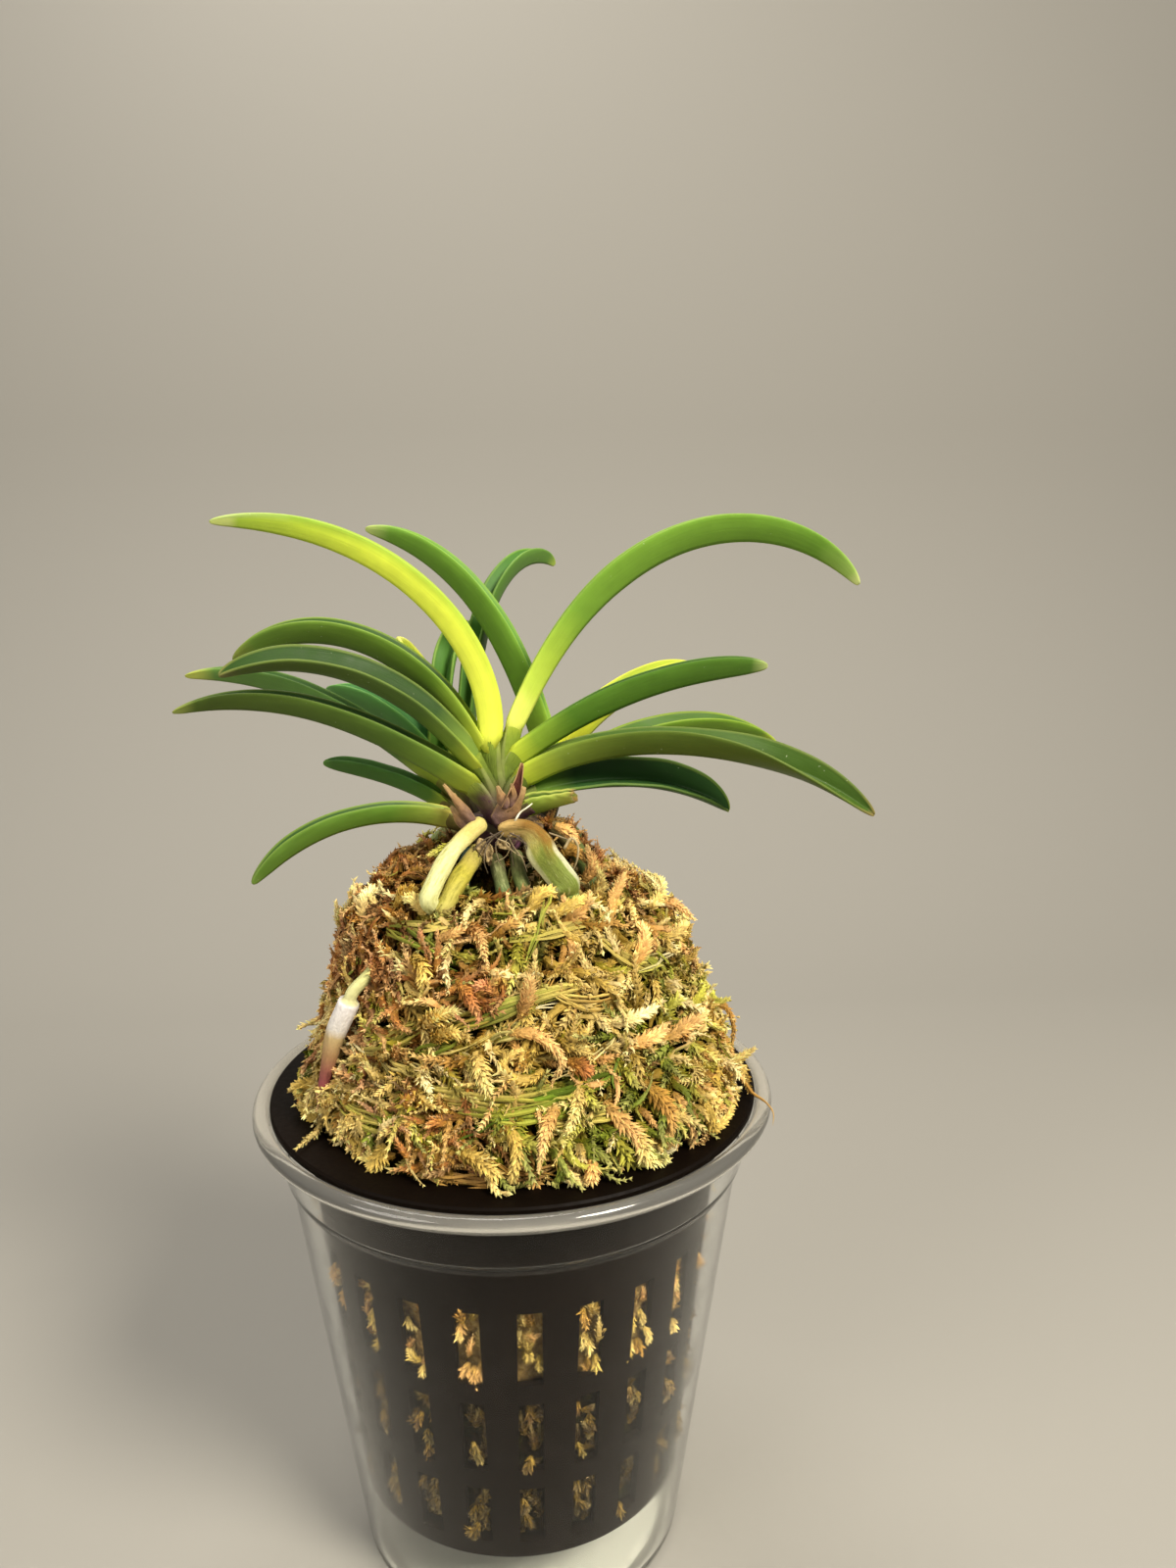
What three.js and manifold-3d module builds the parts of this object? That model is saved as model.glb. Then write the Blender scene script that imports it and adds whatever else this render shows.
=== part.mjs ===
// Wind orchid on a mound of sphagnum moss, in a slotted net pot that hangs in a clear cup.
// Millimetres, +Z up. The origin is the centre of the cup's underside, +X is the plant's right
// and -Y is its front.
import * as THREE from 'three';
import { mergeVertices } from 'three/addons/utils/BufferGeometryUtils.js';
import Module from 'manifold-3d';

const wasm = await Module();
wasm.setup();

// ---------------------------------------------------------------- driving dimensions

const GAP = 0.3; // between pieces that touch

const CUP = {
  rimRadius: 47.5, // outside of the rolled rim
  rollRadius: 1.45, // of the roll's round section
  height: 91,
  topRadius: 44.2, // outside of the wall under the roll
  ledgeRadius: 42.6, // outside of the wall over the stacking ledge
  ledgeStep: 0.9,
  ledgeZ: 79.5,
  baseRadius: 31,
  wall: 0.8,
  floor: 1.0,
  corner: 1.2, // bevel round the base
  flare: 2.3, // height over which the wall turns out into the roll
};
const SEGMENTS = 44; // around every turned piece, two for each slot of the net pot

const POT = {
  lipRadius: 44.4,
  lipThickness: 1.4,
  topRadius: 38.8,
  bottomRadius: 31,
  topZ: CUP.height + 0.2,
  bottomZ: 15,
  wall: 1.3,
  floor: 1.5,
  slots: 22,
  slotWidth: 4.2,
  slotRows: [[19.3, 31], [35, 49], [53, 67.5]], // lowest and highest point of each row
  firstSlot: -87.5, // degrees, the slot next to the front
  drainSlots: 11,
  drain: { length: 11, width: 2.6, radius: 20 }, // radius of the circle of their middles
};

const MOUND = {
  baseZ: POT.topZ + GAP,
  // radius and height of the outside, from the lip up to the hollow's rim
  outside: [[37.6, 0.6], [37.8, 4], [35, 9.5], [31.6, 17], [29.4, 26], [26.4, 34]],
  rim: [[18.5, 40.4], [15.4, 40.2]],
  hollow: [[11.8, 34], [9, 20]],
  frontDip: 1.6, // the rim is lower at the front and higher at the back
  lump: 0.9, // height of the uneven swellings
  rightBulge: 2.4, // how far the foot of the mound swells at the right
};

// The mound is covered by short tufts in offset rows, and longer shoots stand out of it.
const TUFT = { rows: 14, sides: 48, lift: 2.6, seed: 5 };
const SPRIG = {
  count: 34,
  seed: 11,
  length: 10,
  width: 4.6,
  thickness: 2.2,
  root: 1.4, // depth of the foot under the mound's surface
  lift: 1.6, // height that the shoot curves up to
  tilt: 0.2, // share of its heading that points outward
};

// A leaf is a folded blade. Its middle line starts at base, heads off at the azimuth in degrees,
// and its slope turns from rise to fall along its length. depth is the height of each half,
// spread is half the angle of the fold, and lean tips the channel to the front. foot is the share
// of the depth at the base, taper the share lost by the end, tip the share of the length where the
// tip begins, and turn the degrees that the blade twists towards the front on its way.
const LEAVES = {
  main_left_1: {
    base: [-2.9, -3, 156.7], azimuth: 184, rise: 98, fall: -3, bend: 0.73,
    length: 64.7, depth: 4.5, spread: 28, lean: 0, foot: 0.86, taper: 0.22, tip: 0.5,
  },
  main_left_2: {
    base: [-5.2, -1.6, 154.15], azimuth: 182, rise: 62, fall: -38, bend: 1.45,
    length: 50.7, depth: 4.3, spread: 34, lean: 3, foot: 0.85, taper: 0.15, tip: 0.6,
  },
  main_left_3: {
    base: [-5.7, -4.5, 152], azimuth: 194, rise: 52, fall: -21, bend: 1.45,
    length: 48.1, depth: 4.25, spread: 36, lean: 28, foot: 0.8, taper: 0.2, tip: 0.6,
  },
  main_left_4: {
    base: [-7, -4, 148.7], azimuth: 185, rise: 34, fall: -17, bend: 1.8,
    length: 52.1, depth: 4.4, spread: 34, lean: 3, foot: 0.9, taper: 0.42, tip: 0.6,
  },
  main_left_5: {
    base: [-11, -4, 142.3], azimuth: 196, rise: 18, fall: -49, bend: 1.1,
    length: 36.6, depth: 3.3, spread: 24, lean: 5, foot: 0.95, taper: 0.1, tip: 0.6,
  },
  main_right_1: {
    base: [1.2, -3, 158.5], azimuth: -2, rise: 65, fall: -51, bend: 1.6,
    length: 77.6, depth: 4.6, spread: 28, lean: 0, foot: 0.62, taper: 0.1, tip: 0.62,
  },
  main_right_2: {
    base: [2, -3, 153.4], azimuth: -8, rise: 36, fall: 1, bend: 1.2,
    length: 46, depth: 4.2, spread: 30, lean: -2, foot: 0.85, taper: 0.15, tip: 0.7,
  },
  main_right_3: {
    base: [3.1, -4, 149.8], azimuth: -6, rise: 31, fall: -38, bend: 0.82,
    length: 64.6, depth: 4.4, spread: 34, lean: 0, foot: 0.9, taper: 0.1, tip: 0.6, turn: 58,
  },
  main_right_4: {
    base: [4.2, -2.5, 146.2], azimuth: 8, rise: 12, fall: -39, bend: 1.5,
    length: 38.4, depth: 4.5, spread: 36, lean: 45, foot: 0.7, taper: 0.05, tip: 0.6,
  },
  right_left_1: {
    base: [8.2, 9, 149.15], azimuth: 172, rise: 73, fall: 8, bend: 2.1,
    length: 57.4, depth: 4.6, spread: 28, lean: 0, foot: 0.9, taper: 0.15, tip: 0.6,
  },
  right_right_1: {
    base: [9.4, 10, 149.7], azimuth: 24, rise: 54, fall: -1, bend: 1,
    length: 36, depth: 4.4, spread: 32, lean: 0, foot: 0.9, taper: 0.1, tip: 0.6,
  },
  right_right_2: {
    base: [10.6, 9, 146.6], azimuth: 14, rise: 36, fall: -27, bend: 1,
    length: 46, depth: 4.3, spread: 34, lean: 8, foot: 0.85, taper: 0.1, tip: 0.6,
  },
  left_right_1: {
    base: [-7.7, 12, 152.1], azimuth: 48, rise: 80, fall: -36, bend: 2.7,
    length: 50, depth: 3.6, spread: 30, lean: 0, foot: 0.9, taper: 0.1, tip: 0.6,
  },
  left_right_2: {
    base: [-11.8, 12.5, 149.5], azimuth: 66, rise: 92, fall: -28, bend: 2.1,
    length: 34, depth: 4.2, spread: 30, lean: 0, foot: 0.95, taper: 0.1, tip: 0.6,
  },
  left_left_1: {
    base: [-10.5, 14.2, 150.4], azimuth: 142, rise: 62, fall: 58, bend: 1,
    length: 24.6, depth: 4.2, spread: 30, lean: 0, foot: 0.9, taper: 0.1, tip: 0.6,
  },
  left_left_2: {
    base: [-12.2, 10.8, 148.15], azimuth: 158, rise: 64, fall: 7, bend: 0.75,
    length: 28.4, depth: 4.2, spread: 34, lean: 0, foot: 0.9, taper: 0.1, tip: 0.6,
  },
  left_left_3: {
    base: [-13.2, 8, 147.3], azimuth: 176, rise: 40, fall: -7, bend: 1.75,
    length: 50, depth: 3.8, spread: 34, lean: 0, foot: 0.9, taper: 0.3, tip: 0.6,
  },
  left_left_4: {
    base: [-12.4, 6, 143.2], azimuth: 184, rise: 36, fall: 9, bend: 0.8,
    length: 22.2, depth: 2.9, spread: 34, lean: 8, foot: 0.95, taper: 0.1, tip: 0.6,
  },
};
// A short torn leaf, the oldest of its rank.
const STUB = {
  base: [4, -6, 144.2], azimuth: -14, rise: 8, fall: -6, bend: 1,
  length: 7.6, depth: 3.6, spread: 30, lean: 20, foot: 1, taper: 0, tip: 1,
};

const BLADE = {
  rings: 10,
  keel: 1.5, // thickness at the fold
  margin: 0.8,
  footEnd: 0.4, // share of the length where the blade has its full depth
  roundness: 2.2, // power of the tip's outline
};

const GROWTHS = {
  main: { foot: [-0.6, -2.2, 138.5], width: 5.4 },
  right: { foot: [6, 7, 138.5], width: 4.6 },
  left: { foot: [-7.5, 8.5, 138.5], width: 4.6 },
};
const SHEATH = {
  reach: 13, // furthest that its foot lies under the leaf's base
  straight: 5.5, // length under the leaf over which it keeps the leaf's heading
  joint: GAP + 0.1, // between its end and the leaf's base
};
const CROWN = { centre: [-0.6, 4, 138.6], radii: [9.6, 8.4, 3.6] };

// Middle lines of the roots, from the crown down into the moss.
const ROOTS = {
  cream: {
    points: [[-3.6, -6.6, 141.6], [-6.8, -9.6, 140.2], [-10.6, -13.4, 137.8], [-12.8, -17.2, 134],
      [-14.4, -19.4, 129.6], [-14.6, -19.6, 123]],
    radius: 1.75, flat: 1,
  },
  yellow: {
    points: [[-4.8, -5.4, 136.8], [-7.4, -10.6, 135.2], [-9.4, -15, 132.4], [-10.6, -17.6, 128.4],
      [-11, -18.2, 122]],
    radius: 1.65, flat: 1,
  },
  shade: {
    points: [[-6.6, -1, 135.6], [-8, -4.4, 132.6], [-8.8, -8.6, 129], [-9.2, -13, 123],
      [-9.4, -15.6, 117]],
    radius: 1.45, flat: 1,
  },
  green: {
    points: [[-2.6, -4.6, 135.4], [-2, -8.4, 133], [-1, -13.6, 129.4], [-0.4, -17, 124],
      [-0.2, -18.4, 118]],
    radius: 1.3, flat: 1,
  },
  dark: {
    points: [[1, -3.6, 135.6], [1.4, -8, 133], [2.8, -12.8, 129.6], [4, -16, 124], [4.4, -17.6, 118]],
    radius: 1.25, flat: 1,
  },
  strap: {
    points: [[-2.2, -7.2, 140.2], [1.2, -8.6, 141.6], [4.6, -10, 141.2], [6.4, -12, 138.4],
      [8.4, -14.4, 135.6], [10.2, -17.8, 131.4], [10.8, -19, 124]],
    radius: 2.3, flat: 0.55,
  },
  side: {
    points: [[7.2, 0.4, 139.4], [9.6, -1, 137.6], [12.4, -4.4, 134.6], [14.6, -8, 131],
      [16.2, -10.6, 124]],
    radius: 1.6, flat: 0.8,
  },
  back_right: {
    points: [[6, 11, 137], [10, 15, 135.4], [13.4, 19, 131], [15.4, 21.4, 123]],
    radius: 1.6, flat: 1,
  },
  back_left: {
    points: [[-8, 11, 137], [-11.4, 14.6, 135.2], [-14.4, 18.6, 131], [-16.2, 21, 123]],
    radius: 1.6, flat: 1,
  },
};
// The young root that leaves the mound at the left and hangs along it.
const NEW_ROOT = {
  points: [[-21, -17, 121.5], [-25.2, -21, 119.6], [-27.4, -20.6, 114.4], [-29.6, -19.8, 109.4],
    [-30.8, -20.6, 104.6], [-31.8, -21.8, 100.4]],
  radius: 1.75,
  tip: 0.9,
};
const ROOT_SIDES = 6;
const ROOT_FLAT_FACES = new THREE.Vector3(0, 1, 0.35); // the way a strap-like root faces

// Dry bracts at the foot of the main growth: a short curved scale each.
const BRACTS = {
  left: { base: [-4.6, -7.4, 140.8], tip: [-9.6, -7.8, 147.2], width: 2.6, curl: 0.9 },
  right: { base: [-0.6, -7.6, 142.4], tip: [3.4, -8.4, 150.4], width: 2.8, curl: -1.4 },
};
const SCALE_THICKNESS = 0.7;

// ---------------------------------------------------------------- solids

const rad = THREE.MathUtils.degToRad;
const vec = (p) => new THREE.Vector3(...p);

function seededRandom(seed) {
  let state = seed;
  return () => {
    state = (state * 1664525 + 1013904223) % 4294967296;
    return state / 4294967296;
  };
}

function solidFrom(geometry) {
  const bare = geometry.clone();
  bare.deleteAttribute('normal');
  bare.deleteAttribute('uv');
  const merged = mergeVertices(bare, 1e-4);
  return new wasm.Manifold(new wasm.Mesh({
    numProp: 3,
    vertProperties: new Float32Array(merged.attributes.position.array),
    triVerts: new Uint32Array(merged.index.array),
  }));
}

function geometryFrom(solid) {
  const mesh = solid.getMesh();
  const geometry = new THREE.BufferGeometry();
  geometry.setAttribute('position', new THREE.BufferAttribute(new Float32Array(mesh.vertProperties), 3));
  geometry.setIndex(new THREE.BufferAttribute(new Uint32Array(mesh.triVerts), 1));
  geometry.computeVertexNormals();
  return geometry;
}

function signedVolume(points, faces) {
  return faces.reduce((sum, [a, b, c]) => {
    const cross = new THREE.Vector3().crossVectors(points[b], points[c]);
    return sum + points[a].dot(cross) / 6;
  }, 0);
}

function solidOfFaces(points, faces) {
  const outward = signedVolume(points, faces) > 0;
  const index = faces.flatMap(([a, b, c]) => (outward ? [a, b, c] : [a, c, b]));
  const geometry = new THREE.BufferGeometry();
  geometry.setAttribute('position', new THREE.Float32BufferAttribute(points.flatMap((p) => p.toArray()), 3));
  geometry.setIndex(index);
  return solidFrom(geometry);
}

// A closed skin over rings of points. Each end is a point at the ring's centre, or the given
// triangles between the ring's own points.
function loft(rings, capFaces = null) {
  const count = rings[0].length;
  const points = rings.flat();
  const faces = [];
  for (let r = 0; r + 1 < rings.length; r += 1) {
    for (let i = 0; i < count; i += 1) {
      const a = r * count + i;
      const b = r * count + ((i + 1) % count);
      faces.push([a, b, b + count], [a, b + count, a + count]);
    }
  }
  [0, rings.length - 1].forEach((r) => {
    const first = r * count;
    const turn = r === 0 ? ([a, b, c]) => [a, c, b] : (face) => face;
    if (capFaces) {
      capFaces.forEach((face) => faces.push(turn(face.map((i) => first + i))));
      return;
    }
    const centre = points.length;
    points.push(rings[r].reduce((sum, p) => sum.add(p), new THREE.Vector3()).divideScalar(count));
    rings[r].forEach((_, i) => faces.push(turn([first + i, first + ((i + 1) % count), centre])));
  });
  return solidOfFaces(points, faces);
}

function turned(profile, segments = SEGMENTS) {
  const points = profile.map(([r, z]) => new THREE.Vector2(r, z));
  const geometry = new THREE.LatheGeometry(points, segments, -Math.PI / segments);
  geometry.rotateX(Math.PI / 2);
  const solid = solidFrom(geometry);
  return solid.volume() > 0 ? solid : solidFrom(flipped(geometry));
}

function flipped(geometry) {
  const index = Array.from(geometry.index.array);
  for (let i = 0; i < index.length; i += 3) {
    [index[i + 1], index[i + 2]] = [index[i + 2], index[i + 1]];
  }
  geometry.setIndex(index);
  return geometry;
}

const union = (solids) => solids.reduce((sum, solid) => sum.add(solid));

function biggestPiece(solid) {
  const pieces = solid.decompose();
  return pieces.reduce((best, piece) => (piece.volume() > best.volume() ? piece : best));
}

// Cuts a piece back from the grown copies of its neighbours, and leaves it alone if it is clear.
function clearOf(solid, grownNeighbours) {
  return grownNeighbours.reduce((rest, grown) => {
    const touches = rest.intersect(grown).volume() > 0;
    return touches ? biggestPiece(rest.subtract(grown)) : rest;
  }, solid);
}

// ---------------------------------------------------------------- cup and net pot

function cupSolid() {
  const { rimRadius, rollRadius, height, topRadius, ledgeRadius, ledgeStep, ledgeZ } = CUP;
  const { baseRadius, wall, floor, corner, flare } = CUP;
  const rollZ = height - rollRadius;
  const rollCentre = rimRadius - rollRadius;
  const underLedge = ledgeRadius - ledgeStep;
  const profile = [[0, 0], [baseRadius - corner, 0], [baseRadius, corner]];
  profile.push([underLedge, ledgeZ - ledgeStep], [ledgeRadius, ledgeZ], [topRadius, rollZ - flare]);
  for (let angle = -110; angle <= 190; angle += 50) {
    const a = rad(angle);
    profile.push([rollCentre + rollRadius * Math.cos(a), rollZ + rollRadius * Math.sin(a)]);
  }
  profile.push([topRadius - wall, rollZ - flare], [ledgeRadius - wall, ledgeZ]);
  profile.push([underLedge - wall, ledgeZ - ledgeStep], [baseRadius - wall, corner + floor]);
  profile.push([baseRadius - 2 * wall - corner, floor], [0, floor], [0, 0]);
  return turned(profile);
}

function potRadius(z) {
  const { topRadius, bottomRadius, topZ, bottomZ } = POT;
  return bottomRadius + ((topRadius - bottomRadius) * (z - bottomZ)) / (topZ - bottomZ);
}

function netPotSolid() {
  const { lipRadius, lipThickness, topZ, bottomZ, wall, floor, slots, firstSlot } = POT;
  const lipZ = topZ - lipThickness;
  const outside = [[0, bottomZ], [potRadius(bottomZ), bottomZ], [potRadius(lipZ), lipZ], [lipRadius, lipZ]];
  const inside = [[potRadius(topZ) - wall, topZ], [potRadius(bottomZ) - wall, bottomZ + floor]];
  const profile = [...outside, [lipRadius, topZ], ...inside, [0, bottomZ + floor], [0, bottomZ]];
  const body = turned(profile).rotate([0, 0, firstSlot]);
  const cuts = [];
  for (let i = 0; i < slots; i += 1) {
    const azimuth = firstSlot + (360 * i) / slots;
    POT.slotRows.forEach(([low, high]) => cuts.push(slotCutter(azimuth, low, high)));
  }
  for (let i = 0; i < POT.drainSlots; i += 1) {
    cuts.push(drainCutter(firstSlot + (360 * i) / POT.drainSlots));
  }
  return body.subtract(union(cuts));
}

function slotCutter(azimuth, low, high) {
  const throughWall = 6 * POT.wall;
  const box = new THREE.BoxGeometry(throughWall, POT.slotWidth, high - low);
  box.translate(potRadius((low + high) / 2) - POT.wall / 2, 0, (low + high) / 2);
  box.rotateZ(rad(azimuth));
  return solidFrom(box);
}

function drainCutter(azimuth) {
  const { length, width, radius } = POT.drain;
  const box = new THREE.BoxGeometry(length, width, 4 * POT.floor);
  box.translate(radius, 0, POT.bottomZ);
  box.rotateZ(rad(azimuth));
  return solidFrom(box);
}

// ---------------------------------------------------------------- leaves

const WORLD_UP = new THREE.Vector3(0, 0, 1);

// Point and heading on a leaf's middle line at share t of its length.
function leafPoint(leaf, t) {
  const steps = 40;
  const point = vec(leaf.base);
  const heading = (share) => {
    const slope = rad(leaf.rise + (leaf.fall - leaf.rise) * share ** leaf.bend);
    const azimuth = rad(leaf.azimuth);
    const flat = Math.cos(slope);
    return new THREE.Vector3(flat * Math.cos(azimuth), flat * Math.sin(azimuth), Math.sin(slope));
  };
  for (let i = 0; i < steps; i += 1) {
    point.addScaledVector(heading((t * (i + 0.5)) / steps), (leaf.length * t) / steps);
  }
  return { point, along: heading(t) };
}

// Axes across the leaf at share t: side runs across the fold and open runs up out of its channel.
function leafAxes(leaf, along, t) {
  const azimuth = rad(leaf.azimuth);
  const side = new THREE.Vector3(Math.sin(azimuth), -Math.cos(azimuth), 0);
  const open = new THREE.Vector3().crossVectors(side, along);
  const twist = (leaf.turn ?? 0) * THREE.MathUtils.smoothstep(t, BLADE.footEnd, 1);
  const lean = rad(leaf.lean + twist) * (side.y < 0 ? 1 : -1);
  return {
    side: side.clone().multiplyScalar(Math.cos(lean)).addScaledVector(open, -Math.sin(lean)),
    open: open.clone().multiplyScalar(Math.cos(lean)).addScaledVector(side, Math.sin(lean)),
  };
}

function leafDepth(leaf, t) {
  const foot = THREE.MathUtils.lerp(leaf.foot, 1, Math.min(1, t / BLADE.footEnd));
  const pastStart = leaf.tip < 1 ? Math.max(0, t - leaf.tip) / (1 - leaf.tip) : 0;
  const tip = Math.sqrt(1 - pastStart ** BLADE.roundness);
  return leaf.depth * foot * (1 - leaf.taper * t) * tip;
}

// The fold's section as eight points, from the keel round the right half and back by the left.
function leafSection(leaf, t, grow) {
  const depth = leafDepth(leaf, t) + grow;
  const reach = depth * Math.tan(rad(leaf.spread));
  const edge = reach + grow;
  const keel = BLADE.keel * Math.min(1, 0.35 + depth / leaf.depth) + 3 * grow;
  const margin = Math.min(BLADE.margin + 2.5 * grow, keel, 0.8 * edge);
  const bulge = 0.1 * depth + grow;
  const half = [[reach / 2 + bulge, (depth - bulge) / 2], [edge, depth], [edge - margin, depth]];
  const mirrored = half.map(([across, up]) => [-across, up]).reverse();
  const under = -0.3 * keel;
  const outline = [[0, under], ...half, [0, under + 1.2 * keel], ...mirrored];
  return outline.map(([across, up]) => [across, up - leafDepth(leaf, t) / 2]);
}

const FOLD_CAP = [[0, 1, 4], [1, 3, 4], [1, 2, 3], [0, 4, 7], [4, 5, 7], [5, 6, 7]];

function leafSolid(leaf, grow = 0) {
  const rings = [];
  for (let i = 0; i < BLADE.rings; i += 1) {
    const share = i / (BLADE.rings - 1);
    const t = 0.992 * (1 - (1 - share) ** 1.25);
    const { point, along } = leafPoint(leaf, t);
    const { side, open } = leafAxes(leaf, along, t);
    if (i === 0) point.addScaledVector(along, -grow);
    if (i === BLADE.rings - 1) point.addScaledVector(along, grow);
    rings.push(leafSection(leaf, t, grow).map(([across, up]) => (
      point.clone().addScaledVector(side, across).addScaledVector(open, up))));
  }
  return loft(rings, FOLD_CAP);
}

// ---------------------------------------------------------------- stem and roots

// The sheath that carries a leaf: a flattened sleeve from the growth's foot to the leaf's base.
function sheathSolid(growth, leaf, grow = 0) {
  const { point: end, along } = leafPoint(leaf, 0);
  const { side, open } = leafAxes(leaf, along, 0);
  end.addScaledVector(along, -SHEATH.joint);
  const foot = vec(growth.foot);
  foot.z = Math.max(foot.z, end.z - SHEATH.reach);
  const bendPoint = end.clone().addScaledVector(along, -SHEATH.straight);
  const curve = new THREE.QuadraticBezierCurve3(foot, bendPoint, end);
  const depth = leafDepth(leaf, 0);
  const reach = depth * Math.tan(rad(leaf.spread));
  const rings = [0, 0.6, 1].map((t) => {
    const centre = curve.getPoint(t);
    const across = THREE.MathUtils.lerp(growth.width / 2, reach + 0.1, t) + grow;
    const up = THREE.MathUtils.lerp(growth.width / 2, depth * 0.56, t) + grow;
    const tilt = curve.getTangent(t);
    const upAxis = new THREE.Vector3().crossVectors(side, tilt).normalize();
    const axis = t === 1 ? open : upAxis;
    if (t === 1) centre.addScaledVector(along, grow);
    return roundRing(centre, side, axis, across, up, 6);
  });
  return loft(rings, HEXAGON_CAP);
}

const HEXAGON_CAP = [[0, 1, 2], [0, 2, 3], [0, 3, 4], [0, 4, 5]];

function roundRing(centre, axisA, axisB, radiusA, radiusB, sides) {
  return Array.from({ length: sides }, (_, i) => {
    const angle = (2 * Math.PI * (i + 0.5)) / sides;
    return centre.clone()
      .addScaledVector(axisA, radiusA * Math.cos(angle))
      .addScaledVector(axisB, radiusB * Math.sin(angle));
  });
}

function crownSolid(grow = 0) {
  const ball = new THREE.SphereGeometry(1, 10, 6);
  const [a, b, c] = CROWN.radii;
  ball.scale(a + grow, c + grow, b + grow);
  ball.rotateX(Math.PI / 2);
  ball.translate(...CROWN.centre);
  return solidFrom(ball);
}

function leavesOf(name) {
  const own = Object.entries(LEAVES).filter(([key]) => key.startsWith(`${name}_`)).map(([, leaf]) => leaf);
  return name === 'main' ? [...own, STUB] : own;
}

function stemSolid(grow = 0) {
  const sheaths = Object.entries(GROWTHS).flatMap(([name, growth]) => (
    leavesOf(name).map((leaf) => sheathSolid(growth, leaf, grow))));
  return union([crownSolid(grow), ...sheaths]);
}

// A root with rounded ends. flat squashes it front to back, and tip is its radius at the far end.
function rootSolid(root, grow = 0) {
  const curve = new THREE.CatmullRomCurve3(root.points.map(vec));
  const steps = Math.round(1.5 * root.points.length);
  const frames = curve.computeFrenetFrames(steps, false);
  const rings = [];
  for (let i = 0; i <= steps; i += 1) {
    const t = i / steps;
    const startFade = i === 0 ? 0.55 : 1;
    const endFade = root.tip && i === steps ? 0.45 : 1;
    const full = THREE.MathUtils.lerp(root.radius, root.tip ?? root.radius, t ** 2);
    const radius = full * startFade * endFade + grow;
    const centre = curve.getPointAt(t);
    if (i === 0) centre.addScaledVector(frames.tangents[i], -grow);
    if (i === steps) centre.addScaledVector(frames.tangents[i], grow);
    const flat = (root.flat ?? 1) * (radius - grow) + grow;
    const wide = new THREE.Vector3().crossVectors(frames.tangents[i], ROOT_FLAT_FACES).normalize();
    const deep = new THREE.Vector3().crossVectors(wide, frames.tangents[i]);
    rings.push(roundRing(centre, wide, deep, radius, flat, ROOT_SIDES));
  }
  return loft(rings, HEXAGON_CAP);
}

function bractSolid({ base, tip, width, curl }) {
  const start = vec(base);
  const along = vec(tip).sub(start);
  const across = new THREE.Vector3().crossVectors(along, new THREE.Vector3(0, 1, 0)).normalize();
  const out = new THREE.Vector3().crossVectors(along, across).normalize();
  if (out.y > 0) out.negate();
  const rings = [0, 0.35, 0.7, 1].map((t) => {
    const half = (width / 2) * Math.sqrt(1 - (0.92 * t) ** 2);
    const centre = start.clone().addScaledVector(along, t).addScaledVector(across, curl * t * t);
    const cup = 0.35 * half;
    const at = (a, o) => centre.clone().addScaledVector(across, a).addScaledVector(out, o);
    const front = [at(-half, 0), at(0, cup), at(half, 0)];
    const back = [at(half, -SCALE_THICKNESS), at(0, cup - SCALE_THICKNESS), at(-half, -SCALE_THICKNESS)];
    return [...front, ...back];
  });
  return loft(rings, [[0, 1, 4], [0, 4, 5], [1, 2, 3], [1, 3, 4]]);
}

// ---------------------------------------------------------------- moss

// Uneven swelling of the mound, as a share between -1 and 1.
function swelling(azimuth, z) {
  const broad = Math.sin(3 * azimuth + 0.11 * z);
  const middling = Math.sin(5 * azimuth - 0.17 * z + 1);
  const fine = Math.sin(8 * azimuth + 0.4 * z);
  return 0.5 * broad + 0.3 * middling + 0.2 * fine;
}

function moundPoint(azimuth, radius, height) {
  const share = THREE.MathUtils.clamp(height / MOUND.rim[0][1], 0, 1);
  const front = -Math.sin(azimuth);
  const rightBulge = MOUND.rightBulge * Math.max(0, Math.cos(azimuth)) * (1 - share);
  const z = MOUND.baseZ + height - MOUND.frontDip * front * share ** 3;
  const r = radius + MOUND.lump * swelling(azimuth, z) + rightBulge;
  return new THREE.Vector3(r * Math.cos(azimuth), r * Math.sin(azimuth), z);
}

function mossCore() {
  const plugGap = POT.wall + GAP;
  const { sides, rows, lift } = TUFT;
  const random = seededRandom(TUFT.seed);
  const plugLow = POT.bottomZ + POT.floor + GAP;
  const ringAt = (make) => Array.from({ length: sides }, (_, i) => make((2 * Math.PI * i) / sides, i));
  const plain = (radius, z) => (
    ringAt((a) => new THREE.Vector3(radius * Math.cos(a), radius * Math.sin(a), z)));
  const insideRadius = (z) => (potRadius(z) - plugGap) * Math.cos(Math.PI / SEGMENTS);
  const rings = [plain(insideRadius(plugLow), plugLow), plain(insideRadius(MOUND.baseZ), MOUND.baseZ)];
  const lowest = MOUND.outside[0][1];
  for (let row = 0; row < rows; row += 1) {
    const height = THREE.MathUtils.lerp(lowest, MOUND.rim[0][1], row / (rows - 1));
    rings.push(ringAt((a, i) => {
      const tuft = (i + row) % 2 === 0 ? lift * (0.4 + 0.6 * random()) : 0;
      return moundPoint(a, moundRadius(height) + tuft, height);
    }));
  }
  [MOUND.rim[1], ...MOUND.hollow].forEach(([radius, height]) => (
    rings.push(ringAt((a) => moundPoint(a, radius, height)))));
  return loft(rings);
}

// Radius of the mound's outside at a height over the lip, along its profile.
function moundRadius(height) {
  const profile = [...MOUND.outside, MOUND.rim[0]];
  const upper = profile.findIndex(([, h]) => h >= height);
  if (upper <= 0) return profile[0][0];
  const [r0, h0] = profile[upper - 1];
  const [r1, h1] = profile[upper];
  return r0 + ((r1 - r0) * (height - h0)) / (h1 - h0);
}

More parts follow.
